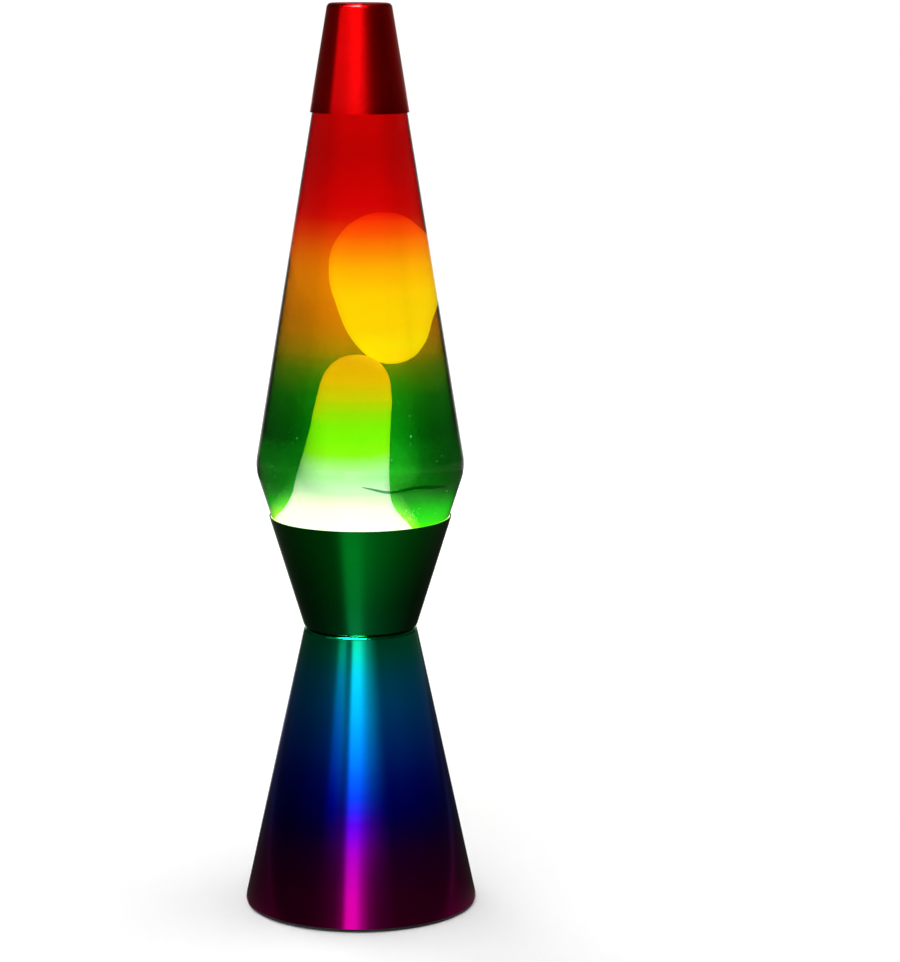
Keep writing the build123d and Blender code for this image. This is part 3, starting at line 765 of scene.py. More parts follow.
@dataclass(frozen=True)
class WorkedMetal:
    """Bare or plated metal of an inner part.

    Attributes:
        name: Name of the material.
        colour: Display colour.
        roughness: Blur of its reflections.
        grain: Blotches per metre along each axis.
        relief: Depth of its grain in millimetres.
        tarnish: Display colour of its duller patches.
    """

    name: str
    colour: str
    roughness: float
    grain: Grain = (300.0, 300.0, 300.0)
    relief: float = 0.01
    tarnish: str = ""

    def build(self) -> bpy.types.Material:
        """Make the material, with grain and duller patches."""
        bench = Bench(self.name)
        grain = bench.stretched_noise(self.grain)
        share = bench.ranged(bench.stretched_noise((70.0, 70.0, 70.0), 4.0), (0.45, 0.75), (0.0, 0.7))
        return bench.surface({
            "Base Color": bench.blended(share, display(self.colour), display(self.tarnish or self.colour)),
            "Metallic": 1.0,
            "Roughness": bench.ranged(grain, WIDE_NOISE, (self.roughness - 0.06, self.roughness + 0.08)),
            "Normal": bench.bump(grain, self.relief, 0.5),
        })


@dataclass(frozen=True)
class MouldedPart:
    """Rubber, resin, ceramic, glass paste or silicone.

    Attributes:
        name: Name of the material.
        colour: Display colour.
        roughness: Blur of its reflections.
        grain: Blotches per metre.
        relief: Depth of its grain in millimetres.
        clearness: Share of light that passes through.
        index: Refractive index.
    """

    name: str
    colour: str
    roughness: float
    grain: float = 900.0
    relief: float = 0.02
    clearness: float = 0.0
    index: float = 1.45

    def build(self) -> bpy.types.Material:
        """Make the material, with a fine moulded grain and a slight change of tone."""
        bench = Bench(self.name)
        grain = bench.stretched_noise((self.grain,) * 3, 4.0)
        share = bench.ranged(bench.stretched_noise((55.0, 55.0, 55.0)), (0.35, 0.7))
        base = display(self.colour)
        darker = tuple(part * 0.8 for part in base)
        return bench.surface({
            "Base Color": bench.blended(share, base, darker),
            "Roughness": bench.ranged(grain, WIDE_NOISE, (self.roughness - 0.05, self.roughness + 0.07)),
            "IOR": self.index,
            "Transmission Weight": self.clearness,
            "Normal": bench.bump(grain, self.relief, 0.4),
        })


@dataclass(frozen=True)
class LitFrost:
    """Frosted glass face of the burning bulb, mirrored on its flank. Heights in millimetres."""

    name: str = "bulb_glass_frosted"
    mirror_height: float = 96.0
    face_height: float = 104.0
    glow: float = 1.4

    def build(self) -> bpy.types.Material:
        """Make the material: a silvered flank below a lit, frosted face."""
        bench = Bench(self.name)
        heights = mm_span(self.mirror_height, self.face_height)
        frost = bench.ranged(bench.along("Z"), heights)
        grain = bench.stretched_noise((1500.0, 1500.0, 1500.0))
        return bench.surface({
            "Base Color": bench.blended(frost, display("d9dadc"), display("fff6e6")),
            "Metallic": bench.ranged(bench.along("Z"), heights, (1.0, 0.0)),
            "Roughness": bench.ranged(grain, WIDE_NOISE, (0.16, 0.3)),
            "Emission Color": opaque(display("ffe2b0")),
            "Emission Strength": bench.ranged(frost, (0.0, 1.0), (0.0, self.glow)),
            "Normal": bench.bump(grain, 0.01, 0.4),
        })



# Colours of the lit bottle, by height in millimetres. The bulb's light through the wax is painted as the
# wax's glow, and the wax's light in the liquid as the liquid's glow.
LIQUID = TintedLiquid(
    "liquid_graded",
    stops=(
        (174, "74f050"), (181.5, "6ce848"), (185, "58d840"), (188.6, "40c434"), (192.4, "28a826"),
        (200, "109012"), (207, "08860a"), (222, "087e08"), (227, "0c7806"), (231, "1c7604"),
        (234.4, "357804"), (238, "527903"), (245, "8a7b03"), (252.2, "af7903"), (262.9, "c36f03"),
        (277, "db7a03"), (288, "df6e03"), (295, "de4f03"), (302, "d42703"), (309, "c90404"),
        (320, "c20202"), (335, "b40202"), (352, "c40202"),
    ),
    # Painted shade: darker near the bottle's outline and, low down, clear of the wax.
    edge_stops=(
        (166, "40e708"), (173, "24d404"), (178, "08c403"), (181, "03b602"), (184.5, "029e02"),
        (188, "027802"), (191, "025e02"), (196, "014402"), (204, "013a02"), (214, "014202"),
        (222, "024c02"), (234.4, "225a02"), (238, "3c6002"), (245, "706502"), (252, "906402"),
        (263, "a45e02"), (277, "bc6a02"), (288, "c26002"), (295, "c24602"), (302, "bc2202"),
        (309, "b00202"), (335, "9c0202"), (352, "a60202"),
    ),
    # Painted light: glow that stands for the wax's light in the liquid beside it.
    glow_stops=(
        (166, "b0b000"), (174, "a0a800"), (180, "808c00"), (185, "406800"), (190, "0c3400"),
        (195, "000000"),
    ),
    far_glow_stops=((166, "003800"), (180, "001800"), (190, "000000")),
)
# Painted light: glow of the column, beads and blob below, as it shows through the liquid.
COLUMN_COLOURS = (
    (180.5, "ffffff"), (185, "fefdf6"), (187.5, "fcfee2"), (190.2, "f2fdd6"), (192.4, "e0fdd0"),
    (194.4, "ccfebc"), (198, "c2fe9b"), (201, "b2fe74"), (205, "94fd10"), (212, "84ff04"),
    (217, "86f803"), (222, "9be903"), (227, "b9da03"), (233, "dbc803"), (240, "e8b803"), (247, "e3ad0a"),
)
COLUMN_LIFTS = ((187.5, 1.1), (192.4, 1.8), (198, 4.4), (247, 3.7))
BLOB_COLOURS = (
    (240, "dcbc0a"), (244, "fcd803"), (252, "fee303"), (268, "fdd403"), (279, "fec503"), (286, "feb003"),
    (292, "fe9003"), (299, "fd6203"), (303.5, "fe4403"), (307, "fc2c04"), (309, "ec1404"),
)
BLOB_LIFTS = ((242, 5), (250, 3), (273, 2.3), (300, 2.6), (309, 3.3))
BEAD_COLOURS = ((175, "e4ff90"), (188, "c0ffa0"), (260, "e8f0a0"))
BEAD_LIFTS = ((175, 0), (260, 0))


# Sub-assemblies


def dress(node_names: Sequence[str], finish: object) -> None:
    """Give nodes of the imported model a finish.

    Args:
        node_names: Names of the nodes.
        finish: Any of the finish classes above.
    """
    material = finish.build()
    for name in node_names:
        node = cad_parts[name]
        node.material_slots[0].material = material
        log.info("node %s has the finish %s", name, material.name)


def place(piece: Piece, body: Body, material: bpy.types.Material, slot: Slot,
          stands_for: Sequence[str] = ()) -> Piece:
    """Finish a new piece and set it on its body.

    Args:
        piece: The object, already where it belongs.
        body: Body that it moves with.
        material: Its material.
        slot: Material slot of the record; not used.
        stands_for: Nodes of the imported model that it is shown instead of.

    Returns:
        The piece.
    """
    piece.data.materials.append(material)
    if stands_for:
        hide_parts(*stands_for)
    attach(piece, body.value)
    log.info("piece %s rides on %s", piece.name, body.value)
    return piece


@dataclass
class Shells:
    """The three lacquered metal shells: cap, cup and lower cone."""

    cap: ShellLacquer = ShellLacquer(
        "cap_lacquer_red",
        stops=((353, "ff0104"), (400, "f70203")),
        roughness=0.18,
        coat=0.04,
    )
    cup: ShellLacquer = ShellLacquer(
        "cup_lacquer_green",
        stops=((125.7, "066f3a"), (140, "036a29"), (160, "01721f"), (175.6, "017a1e")),
        roughness=0.2,
        inner_glow=1.0,
    )
    cone: ShellLacquer = ShellLacquer(
        "cone_lacquer_rainbow",
        stops=(
            (1.4, "d8029f"), (14, "d002a6"), (24, "ba02ae"), (33, "a202c0"), (40, "7c02d6"),
            (46, "5606e2"), (51, "2c20ee"), (57, "0a3ef0"), (66, "0460f4"), (80, "038efa"),
            (95, "04b2fa"), (108, "06c8ee"), (117, "09d6c4"), (126, "12d89c"),
        ),
        roughness=0.12,
        depth=1.6,
    )

    def build(self) -> None:
        """Dress the shells."""
        dress(["top_cap"], self.cap)
        dress(["upper_cup"], self.cup)
        dress(["lower_cone"], self.cone)


@dataclass
class Bottle:
    """Glass bottle, its liquid and its closure. Sizes in millimetres."""

    low: float = 128.8
    punt_radius: float = 17.0
    punt_rise: float = 1.0
    heel_radius: float = 24.856
    heel_ease: float = 3.0
    rim_height: float = 175.6
    rim_radius: float = 39.3
    shoulder_radius: float = 46.4
    shoulder_height: float = 197.5
    shoulder_ease: float = 22.0
    root_radius: float = 19.391
    root_height: float = 361.5
    neck_radius: float = 12.3
    neck_foot_height: float = 366.5
    bore_radius: float = 7.8
    lip_radius: float = 13.3
    lip_height: float = 4.6
    lip_ease: float = 1.4
    top: float = 378.0
    wall: float = 2.0
    floor: float = 3.0
    level: float = 360.0
    overlap: float = 0.15
    segments: int = 192

    def outside(self) -> list[Corner]:
        """Corners of the outer surface, from the middle of the foot to the edge of the mouth."""
        lip_low = self.top - self.lip_height
        return [
            Corner(0, self.low + self.punt_rise),
            Corner(self.punt_radius, self.low + self.punt_rise, 0.5),
            Corner(self.punt_radius + self.punt_rise, self.low, 0.4),
            Corner(self.heel_radius, self.low, self.heel_ease),
            Corner(self.rim_radius, self.rim_height),
            Corner(self.shoulder_radius, self.shoulder_height, self.shoulder_ease),
            Corner(self.root_radius, self.root_height, 2.2),
            Corner(self.neck_radius, self.neck_foot_height, self.lip_ease),
            Corner(self.neck_radius, lip_low, 0.3),
            Corner(self.lip_radius, lip_low + self.lip_radius - self.neck_radius, 0.3),
            Corner(self.lip_radius, self.top, self.lip_ease),
        ]

    def inside(self, swell: float = 0.0) -> list[Corner]:
        """Corners of the inner surface of the body, from its root down to the middle of its floor.

        Args:
            swell: Distance by which the surface is pushed into the glass.

        Returns:
            The corners.
        """
        wall = self.wall - swell
        floor = self.low + self.floor - swell
        heel = self.heel_radius - wall + 0.92
        return [
            Corner(self.root_radius - wall, self.root_height),
            Corner(self.shoulder_radius - wall, self.shoulder_height, self.shoulder_ease - wall),
            Corner(self.rim_radius - wall, self.rim_height),
            Corner(heel, floor, 4.0),
            Corner(0, floor),
        ]

    def bore_at(self, height: float) -> float:
        """Inner radius of the body at a height, both in millimetres."""
        outline = [(1000 * rise, 1000 * reach) for reach, rise in reversed(turned_outline(self.inside()))]
        return level_at(height, outline)

    def on_wall(self, azimuth: float, height: float, depth: float) -> Vector:
        """Place near the inside of the glass.

        Args:
            azimuth: Direction in degrees, 0 towards the front and rising to the right.
            height: Height in millimetres.
            depth: Distance from the glass in millimetres.

        Returns:
            The place in metres.
        """
        turn = math.radians(azimuth)
        reach = mm(self.bore_at(height) - depth)
        return Vector((reach * math.sin(turn), -reach * math.cos(turn), mm(height)))

    def build(self) -> None:
        """Make the bottle and the liquid and dress the closure."""
        outside = supported(turned_outline(self.outside() + [
            Corner(self.bore_radius, self.top, 0.6),
            Corner(self.bore_radius, self.neck_foot_height),
        ]))
        inside = supported(turned_outline(self.inside()))
        glass = turned_object("bottle_glass", outside + inside, self.segments)
        place(glass, Body.BOTTLE, ClearGlass().build(), Slot.BOTTLE_GLASS, ["bottle"])
        glass.data.materials.append(ClearGlass("bottle_glass_wetted", wetted=True).build())
        for face in glass.data.polygons:
            if face.index // self.segments >= len(outside):
                face.material_index = 1
        cavity = self.inside(self.overlap)
        share = (self.root_height - self.level) / (self.root_height - self.shoulder_height)
        level_radius = cavity[0].radius + share * (cavity[1].radius - cavity[0].radius)
        surface = [Corner(0, self.level), Corner(level_radius, self.level)]
        skin = supported(turned_outline(surface + cavity[1:]))
        liquid = turned_object("carrier_liquid", skin, self.segments)
        place(liquid, Body.BOTTLE, LIQUID.build(), Slot.LIQUID, ["liquid"])
        dress(["crown_cap"], WorkedMetal("closure_tinplate", "c9cbcc", 0.26, (900.0, 900.0, 900.0)))
        dress(["crown_liner"], MouldedPart("closure_liner_soft", "d8d4c8", 0.5))


@dataclass(frozen=True)
class WaxForm:
    """Free form of wax: a softened copy of its node, with its sides moved. Sizes in millimetres.

    Attributes:
        node: Node that the form stands for.
        axis: Place of its middle along X, against the height.
        breadth: Half of its usual width.
        left: Move of its left side along X, against the height.
        right: Move of its right side.
        drop: Distance by which it hangs lower.
        voxel: Size of the mesh's cells.
        smoothings: How many times the mesh is softened.
        swell: Height of its slow, uneven waves.
        waves: How many waves there are per metre.
        clearance: Least distance from the glass.
    """

    node: str
    axis: Levels
    breadth: float
    left: Levels
    right: Levels
    drop: float = 0.0
    voxel: float = 0.9
    smoothings: int = 14
    swell: float = 0.15
    waves: float = 45.0
    clearance: float = 0.05

    def build(self, name: str, bottle: Bottle) -> Piece:
        """Make the form.

        Args:
            name: Name of the object.
            bottle: Bottle whose glass it stays inside.

        Returns:
            The new object.
        """
        made = linked(name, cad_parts[self.node].data.copy())
        even = made.modifiers.new("even", "REMESH")
        even.mode = "VOXEL"
        even.voxel_size = mm(self.voxel)
        settle(made)
        for vertex in made.data.vertices:
            vertex.co = self.moved(vertex.co, bottle)
        soften = made.modifiers.new("soften", "SMOOTH")
        soften.iterations = self.smoothings
        settle(made)
        made.data.materials.clear()
        made.data.shade_smooth()
        return made

    def moved(self, start: Vector, bottle: Bottle) -> Vector:
        """Place of a vertex after its side's move.

        Args:
            start: Where it was, in metres.
            bottle: Bottle whose glass it stays inside.

        Returns:
            Where it goes, in metres.
        """
        height = 1000 * start.z
        offset = 1000 * start.x - level_at(height, self.axis)
        share = min(max(0.5 + offset / (2 * self.breadth), 0.0), 1.0)
        move = (1 - share) * level_at(height, self.left) + share * level_at(height, self.right)
        wave = self.swell * noise.noise(start * self.waves)
        spot = start + Vector((mm(move + wave), 0.0, -mm(self.drop)))
        reach = math.hypot(spot.x, spot.y)
        limit = mm(bottle.bore_at(1000 * spot.z) - self.clearance)
        if reach > limit:
            spot.x, spot.y = spot.x * limit / reach, spot.y * limit / reach
        return spot


@dataclass
class Wax:
    """Wax in the bottle: the leaning column with its pool, the free blob, small beads, and a thin tinted
    thread that draws a painted shadow line across the wax.

    Attributes:
        bottle: Bottle that holds the wax.
        column: Form of the column.
        blob: Form of the free blob.
        beads: Azimuth, height and radius of the beads that show singly.
        cluster: Azimuth and height of the middle of a cluster of beads.
        cluster_spread: How far the cluster scatters in azimuth and height.
        cluster_radii: Smallest and largest radius in the cluster.
        cluster_count: Number of beads in it.
        strays: Number of scattered beads.
        stray_azimuths: How far to either side they lie, at the least and at the most.
        stray_heights: Their lowest and highest place.
        stray_radii: Their smallest and largest radius.
        thread: Azimuth, height and share of the full width of the places that the thread passes.
        thread_radius: Radius of the thread at a share of 1.
    """

    bottle: Bottle
    column: WaxForm = WaxForm(
        "wax_column",
        axis=((170, -8), (190, -6), (226, -2.3), (245, -1)),
        breadth=16.0,
        left=(
            (166, 0), (175, -2.2), (179, -2.6), (183, -2), (190, -1.5), (197, -0.7), (204, -0.4),
            (212, -0.6), (222, -1.4), (228, -1), (236, 0),
        ),
        right=(
            (164, 0), (169, 2), (173, 3.6), (176, 3.8), (179, 2.8), (183, 1.2), (187, 0.1), (193, -0.5),
            (200, -0.3), (208, 0), (216, 0.8), (226, 1.1), (233, 0),
        ),
    )
    blob: WaxForm = WaxForm(
        "wax_blob",
        axis=((241, 9.6), (309, 9)),
        breadth=18.0,
        left=(
            (242, -0.5), (248, -1.2), (252, -1.1), (258, -0.5), (264, 0), (271, -0.1), (276, -0.7),
            (286, -1.2), (294, -2.1), (304, -2.6), (309, -1.5),
        ),
        right=(
            (242, 1), (248, 1.5), (253, 0.8), (257, -0.4), (262, -1.6), (268, -1.4), (276, -0.9),
            (288, -1), (298, -1.3), (309, -1.3),
        ),
        drop=1.5,
    )
    beads: tuple[tuple[float, float, float], ...] = (
        (-40.5, 215, 0.42), (31.5, 216.3, 0.5), (18.2, 207, 0.3), (-59, 201.2, 0.42), (49, 204.3, 0.42),
        (54, 206.2, 0.36), (-56, 197.4, 0.3), (61, 190.4, 0.3), (55, 181, 0.3),
    )
    cluster: Point = (34.0, 181.6)
    cluster_spread: Point = (3.6, 1.7)
    cluster_radii: Point = (0.14, 0.34)
    cluster_count: int = 30
    strays: int = 26
    stray_azimuths: Point = (22.0, 68.0)
    stray_heights: Point = (181.0, 232.0)
    stray_radii: Point = (0.14, 0.26)
    thread_radius: float = 0.42
    thread: tuple[tuple[float, float, float], ...] = (
        (1, 195.8, 0.4), (5, 195.2, 0.9), (8.5, 194.5, 1.2), (16, 193.1, 1.4), (22.5, 193.5, 1.3),
        (29.5, 194.3, 1.6), (39, 194.6, 2), (50, 193.4, 2.2), (60, 192.6, 1.4),
    )

    def build(self) -> None:
        """Make the wax."""
        column = self.column.build("wax_column_soft", self.bottle)
        column_glow = GlowingWax("wax_column_lit", COLUMN_COLOURS, LIQUID, COLUMN_LIFTS)
        place(column, Body.BOTTLE, column_glow.build(), Slot.WAX, ["wax_column"])
        blob = self.blob.build("wax_blob_soft", self.bottle)
        blob_glow = GlowingWax("wax_blob_lit", BLOB_COLOURS, LIQUID, BLOB_LIFTS, side_lift=1.2)
        place(blob, Body.BLOB, blob_glow.build(), Slot.WAX, ["wax_blob"])
        bead_glow = GlowingWax("wax_bead_lit", BEAD_COLOURS, LIQUID, BEAD_LIFTS)
        place(self.bead_object(), Body.BOTTLE, bead_glow.build(), Slot.WAX)
        # Painted shadow: a thin tinted clear thread draws the dark shadow line that crosses the wax.
        points = [self.bottle.on_wall(azimuth, height, 1.0) for azimuth, height, _ in self.thread]
        widths = [width for _, _, width in self.thread]
        thread = wire_object("shadow_line_thread", points, mm(self.thread_radius), widths=widths)
        film = MouldedPart("shadow_line_film", "66b09c", 0.1, relief=0.0, clearness=1.0, index=1.02)
        place(thread, Body.BOTTLE, film.build(), Slot.WAX)

    def bead_object(self) -> Piece:
        """Beads that cling to the glass, the named ones and some scattered ones."""
        draws = random.Random(11)
        spots = list(self.beads)
        for _ in range(self.strays):
            azimuth = draws.uniform(*self.stray_azimuths) * draws.choice((-1.0, 1.0))
            spots.append((azimuth, draws.uniform(*self.stray_heights), draws.uniform(*self.stray_radii)))
        for _ in range(self.cluster_count):
            azimuth, height = [draws.gauss(*spread) for spread in zip(self.cluster, self.cluster_spread)]
            spots.append((azimuth, height, draws.uniform(*self.cluster_radii)))
        work = bmesh.new()
        for azimuth, height, radius in spots:
            spot = Matrix.Translation(self.bottle.on_wall(azimuth, height, radius + 0.1))
            bmesh.ops.create_icosphere(work, subdivisions=2, radius=mm(radius), matrix=spot)
        mesh = bpy.data.meshes.new("wax_beads")
        work.to_mesh(mesh)
        work.free()
        mesh.shade_smooth()
        return linked("wax_beads", mesh)


@dataclass
class HeatCoil:
    """Wire coil in the bottom of the bottle. Sizes in millimetres."""

    ring_radius: float = 19.0
    coil_radius: float = 1.5
    wire_radius: float = 0.28
    turns: int = 64
    steps: int = 8

    def build(self) -> None:
        """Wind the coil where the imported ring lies."""
        low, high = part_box("coil_ring")
        middle = (low.z + high.z) / 2
        points = []
        for step in range(self.turns * self.steps):
            along = 2 * math.pi * step / (self.turns * self.steps)
            round_wire = 2 * math.pi * step / self.steps
            reach = mm(self.ring_radius + self.coil_radius * math.cos(round_wire))
            lift = mm(self.coil_radius * math.sin(round_wire))
            points.append(Vector((reach * math.cos(along), reach * math.sin(along), middle + lift)))
        coil = wire_object("heat_coil", points, mm(self.wire_radius), closed=True)
        steel = WorkedMetal("coil_spring_steel", "a9abad", 0.3).build()
        place(coil, Body.BOTTLE, steel, Slot.SPRING_STEEL, ["coil_ring"])


@dataclass
class Bulb:
    """Reflector bulb with its cap, mount and filament."""

    def build(self) -> None:
        """Dress the bulb."""
        dress(["bulb_glass"], LitFrost())
        dress(["bulb_cap"], WorkedMetal("bulb_cap_aluminium", "cfd0d1", 0.3, (80.0, 80.0, 900.0)))
        dress(["bulb_stem"], MouldedPart("bulb_mount_clear", "e6ece8", 0.08, clearness=0.9))
        dress(["bulb_insulator"], MouldedPart("bulb_black_glass", "0c0c10", 0.12))
        dress(["bulb_contact_tip"], WorkedMetal("bulb_solder", "b9bbbd", 0.34))
        dress(["bulb_leads", "bulb_filament"], WorkedMetal("bulb_tungsten", "8d8d90", 0.35))


@dataclass
class Lampholder:
    """Lampholder with its contacts, and the strap, nipple and nut that carry it."""

    def build(self) -> None:
        """Dress the lampholder."""
        dress(["socket_cap", "socket_body"], MouldedPart("holder_resin_black", "17171a", 0.32))
        dress(["socket_insert"], MouldedPart("holder_ceramic_white", "e9e4d8", 0.22))
        brass = ["socket_shell", "centre_contact", "side_contact", "contact_rivets", "terminal_blocks"]
        dress(brass, WorkedMetal("holder_brass", "d9b45c", 0.26, tarnish="b18a3c"))
        plated = [
            "socket_bracket", "bracket_screws", "bracket_nuts", "nipple", "nipple_locknut", "terminal_screws",
        ]
        dress(plated, WorkedMetal("zinc_plate_bright", "c4c8cc", 0.27, tarnish="aeb2a4"))


@dataclass
class Foot:
    """Bottom plate, its lugs and screws, the foot ring, and the cord's grommet."""

    def build(self) -> None:
        """Dress the foot."""
        dull = WorkedMetal("zinc_plate_dull", "b9bdc1", 0.36, tarnish="a3a79a")
        dress(["plate_lugs", "plate_screws", "waist_ferrule"], dull)
        dress(["base_plate"], MouldedPart("base_plate_black", "1b1b1d", 0.42, 700.0))
        dress(["foot_ring", "cord_grommet"], MouldedPart("rubber_black", "060607", 0.6, 1100.0, 0.03))
        dress(["seat_ring"], MouldedPart("seat_silicone", "e8ebec", 0.3, clearness=0.6))


# Studio


@dataclass(frozen=True)
class ViewCamera:
    """Camera at the photograph's angle, fitted to the outline of the real lamp."""

    distance: float = 1.401
    height: float = 0.43517
    down_degrees: float = 9.89
    right_degrees: float = 1.62
    roll_degrees: float = 0.17
    focal_pixels: float = 3217.46
    image_width: float = 900.0
    sensor: float = 36.0

    def build(self) -> None:
        """Make the camera and use it for the scene."""
        lens = bpy.data.cameras.new("view_camera")
        lens.sensor_fit = "HORIZONTAL"
        lens.sensor_width = self.sensor
        lens.lens = self.focal_pixels / self.image_width * self.sensor
        made = linked("view_camera", lens)
        made.location = (0.0, -self.distance, self.height)
        upward, aside = math.radians(90 - self.down_degrees), -math.radians(self.right_degrees)
        roll = Matrix.Rotation(math.radians(self.roll_degrees), 3, "Z")
        made.rotation_euler = (Euler((upward, 0.0, aside)).to_matrix() @ roll).to_euler()
        bpy.context.scene.camera = made


@dataclass(frozen=True)
class CardRow:
    """Line on the cards; between two lines the glow changes evenly.

    Attributes:
        strips: Glow against the azimuth in degrees, 0 towards the camera and rising to the right.
        radius: Radius of the shell whose reflection the line bounds, in millimetres, or the line's own.
        height: Height on that shell, in millimetres, or the line's own.
        tilt: How far the shell's surface faces upwards, in degrees; none for a line with its own place.
        on_table: Whether the line lies on the table or on the wall.
        lift: Distance by which the line lies higher or further out, in millimetres.
        gain: Factor on the glow.
    """

    strips: Levels
    radius: float
    height: float
    tilt: Optional[float] = None
    on_table: bool = False
    lift: float = 0.0
    gain: float = 1.0

    def place(self, turn: float, camera: ViewCamera, wall: float, gap: float) -> tuple[float, float, float]:
        """Place of the line at one azimuth.

        Args:
            turn: The azimuth, in radians.
            camera: The camera.
            wall: Distance of the wall.
            gap: Height of the cards over the table.

        Returns:
            Place in metres.
        """
        reach, height = mm(self.radius), mm(self.height)
        if self.tilt is not None:
            flat, rise = self.mirrored(turn / 2, camera)
            if self.on_table:
                reach += flat / max(-rise, 1e-3) * height + mm(self.lift)
                height = 0.0
            else:
                height += (wall - reach) / flat * rise + mm(self.lift)
                reach = wall
        reach = min(reach, wall)
        height = max(height, gap)
        return reach * math.sin(turn), -reach * math.cos(turn), height

    def mirrored(self, facing: float, camera: ViewCamera) -> tuple[float, float]:
        """Direction in which the camera looks on after the shell's mirror.

        Args:
            facing: Azimuth of the place on the shell, in radians.
            camera: The camera.

        Returns:
            Level part and rise of the direction.
        """
        out = Vector((math.sin(facing), -math.cos(facing), 0.0))
        tilt = math.radians(self.tilt)
        normal = out * math.cos(tilt) + Vector((0.0, 0.0, math.sin(tilt)))
        spot = out * mm(self.radius) + Vector((0.0, 0.0, mm(self.height)))
        look = (spot - Vector((0.0, -camera.distance, camera.height))).normalized()
        onward = look - 2 * look.dot(normal) * normal
        return onward.xy.length, onward.z


# What the lower and the upper part of the cup mirror, on the table in front of it
CUP_LOW_STRIPS: Levels = (
    (-180, 0.5), (-160, 0.2), (-150, 0.03), (-110, 0.03), (-85, 0.05), (-60, 0.09), (-40, 0.12),
    (-30, 0.24), (-22, 1.05), (-4, 1.1), (8, 0.44), (24, 0.26), (35, 0.2), (60, 0.13), (90, 0.07),
    (110, 0.03), (150, 0.02), (165, 0.06), (180, 0.2),
)
CUP_HIGH_STRIPS: Levels = (
    (-180, 0.4), (-160, 0.15), (-150, 0.05), (-110, 0.07), (-60, 0.15), (-40, 0.2), (-30, 0.33),
    (-22, 1.25), (-4, 1.25), (8, 0.85), (24, 0.64), (35, 0.54), (60, 0.31), (90, 0.18), (135, 0.06),
    (150, 0.03), (165, 0.06), (180, 0.2),
)
# Further out on the table, mirrored by the bottle's shoulder and the sides of the cone
TABLE_STRIPS: Levels = (
    (-180, 0.12), (-165, 0.05), (-150, 0.03), (-120, 0.025), (-60, 0.01), (60, 0.01), (110, 0.025),
    (140, 0.03), (160, 0.08), (180, 0.25),
)
# Low on the wall, mirrored by the magenta foot of the cone and, a little higher, by its violet
FOOT_STRIPS: Levels = (
    (-180, 0.4), (-165, 0.08), (-150, 0.02), (-90, 0.013), (-60, 0.017), (-46, 0.02), (-36, 0.03),
    (-26, 0.05), (-18, 0.18), (-14, 1.2), (-6, 1.2), (0, 0.46), (7, 0.11), (15, 0.04), (28, 0.03),
    (45, 0.026), (90, 0.022), (138, 0.03), (150, 0.1), (165, 0.4), (180, 1),
)
VIOLET_STRIPS: Levels = (
    (-180, 0.4), (-165, 0.08), (-150, 0.02), (-90, 0.011), (-60, 0.019), (-46, 0.027), (-36, 0.06),
    (-28, 0.13), (-20, 0.24), (-14, 1.3), (-4, 1.3), (2, 0.78), (11, 0.36), (23, 0.13), (35, 0.045),
    (60, 0.038), (90, 0.034), (138, 0.04), (150, 0.16), (165, 0.5), (180, 1),
)
# Higher on the wall, mirrored by the blue of the cone, and by the teal at its top
CONE_STRIPS: Levels = (
    (-180, 0.5), (-165, 0.1), (-150, 0.05), (-138, 0.04), (-106, 0.04), (-81, 0.048), (-60, 0.074),
    (-50, 0.09), (-44, 0.14), (-38, 0.42), (-29, 0.45), (-22, 0.22), (-18, 0.3), (-14, 1.3), (-2, 1.3),
    (6, 0.8), (12, 0.52), (23, 0.28), (31, 0.15), (40, 0.125), (60, 0.12), (81, 0.095), (106, 0.085),
    (138, 0.075), (150, 0.14), (165, 0.4), (180, 1),
)
TEAL_STRIPS: Levels = (
    (-180, 0.4), (-165, 0.08), (-150, 0.035), (-106, 0.03), (-81, 0.032), (-60, 0.045), (-48, 0.09),
    (-44, 0.2), (-38, 0.55), (-31, 0.5), (-25, 0.12), (-18, 0.16), (-13, 1.35), (-2, 1.35), (5, 0.75),
    (12, 0.34), (23, 0.12), (32, 0.05), (60, 0.045), (138, 0.05), (150, 0.08), (165, 0.25), (180, 0.7),
)
# What the bottle mirrors
BOTTLE_STRIPS: Levels = (
    (-180, 1), (-167, 1), (-158, 0.3), (-150, 0.04), (-142, 0.002), (142, 0.002), (150, 0.04), (158, 0.3),
    (167, 1), (180, 1),
)
# What the cap mirrors, and the glint on its top edge
CAP_STRIPS: Levels = (
    (-180, 0.3), (-160, 0.1), (-138, 0.065), (-95, 0.06), (-77, 0.075), (-66, 0.86), (-40, 0.88),
    (-28, 1), (-8, 1.27), (2, 1), (11, 0.6), (24, 0.23), (36, 0.075), (48, 0.05), (60, 0.04), (80, 0.045),
    (105, 0.08), (138, 0.11), (160, 0.2), (180, 0.3),
)
TOP_STRIPS: Levels = ((-180, 0.03), (180, 0.03))
GLINT_STRIPS: Levels = ((-68, 0.05), (-44, 34), (-20, 200), (2, 200), (12, 0.05))
CONE_TILT, BOTTLE_TILT, CAP_TILT, CUP_TILT = 12.25, 9.35, 9.41, -17.15


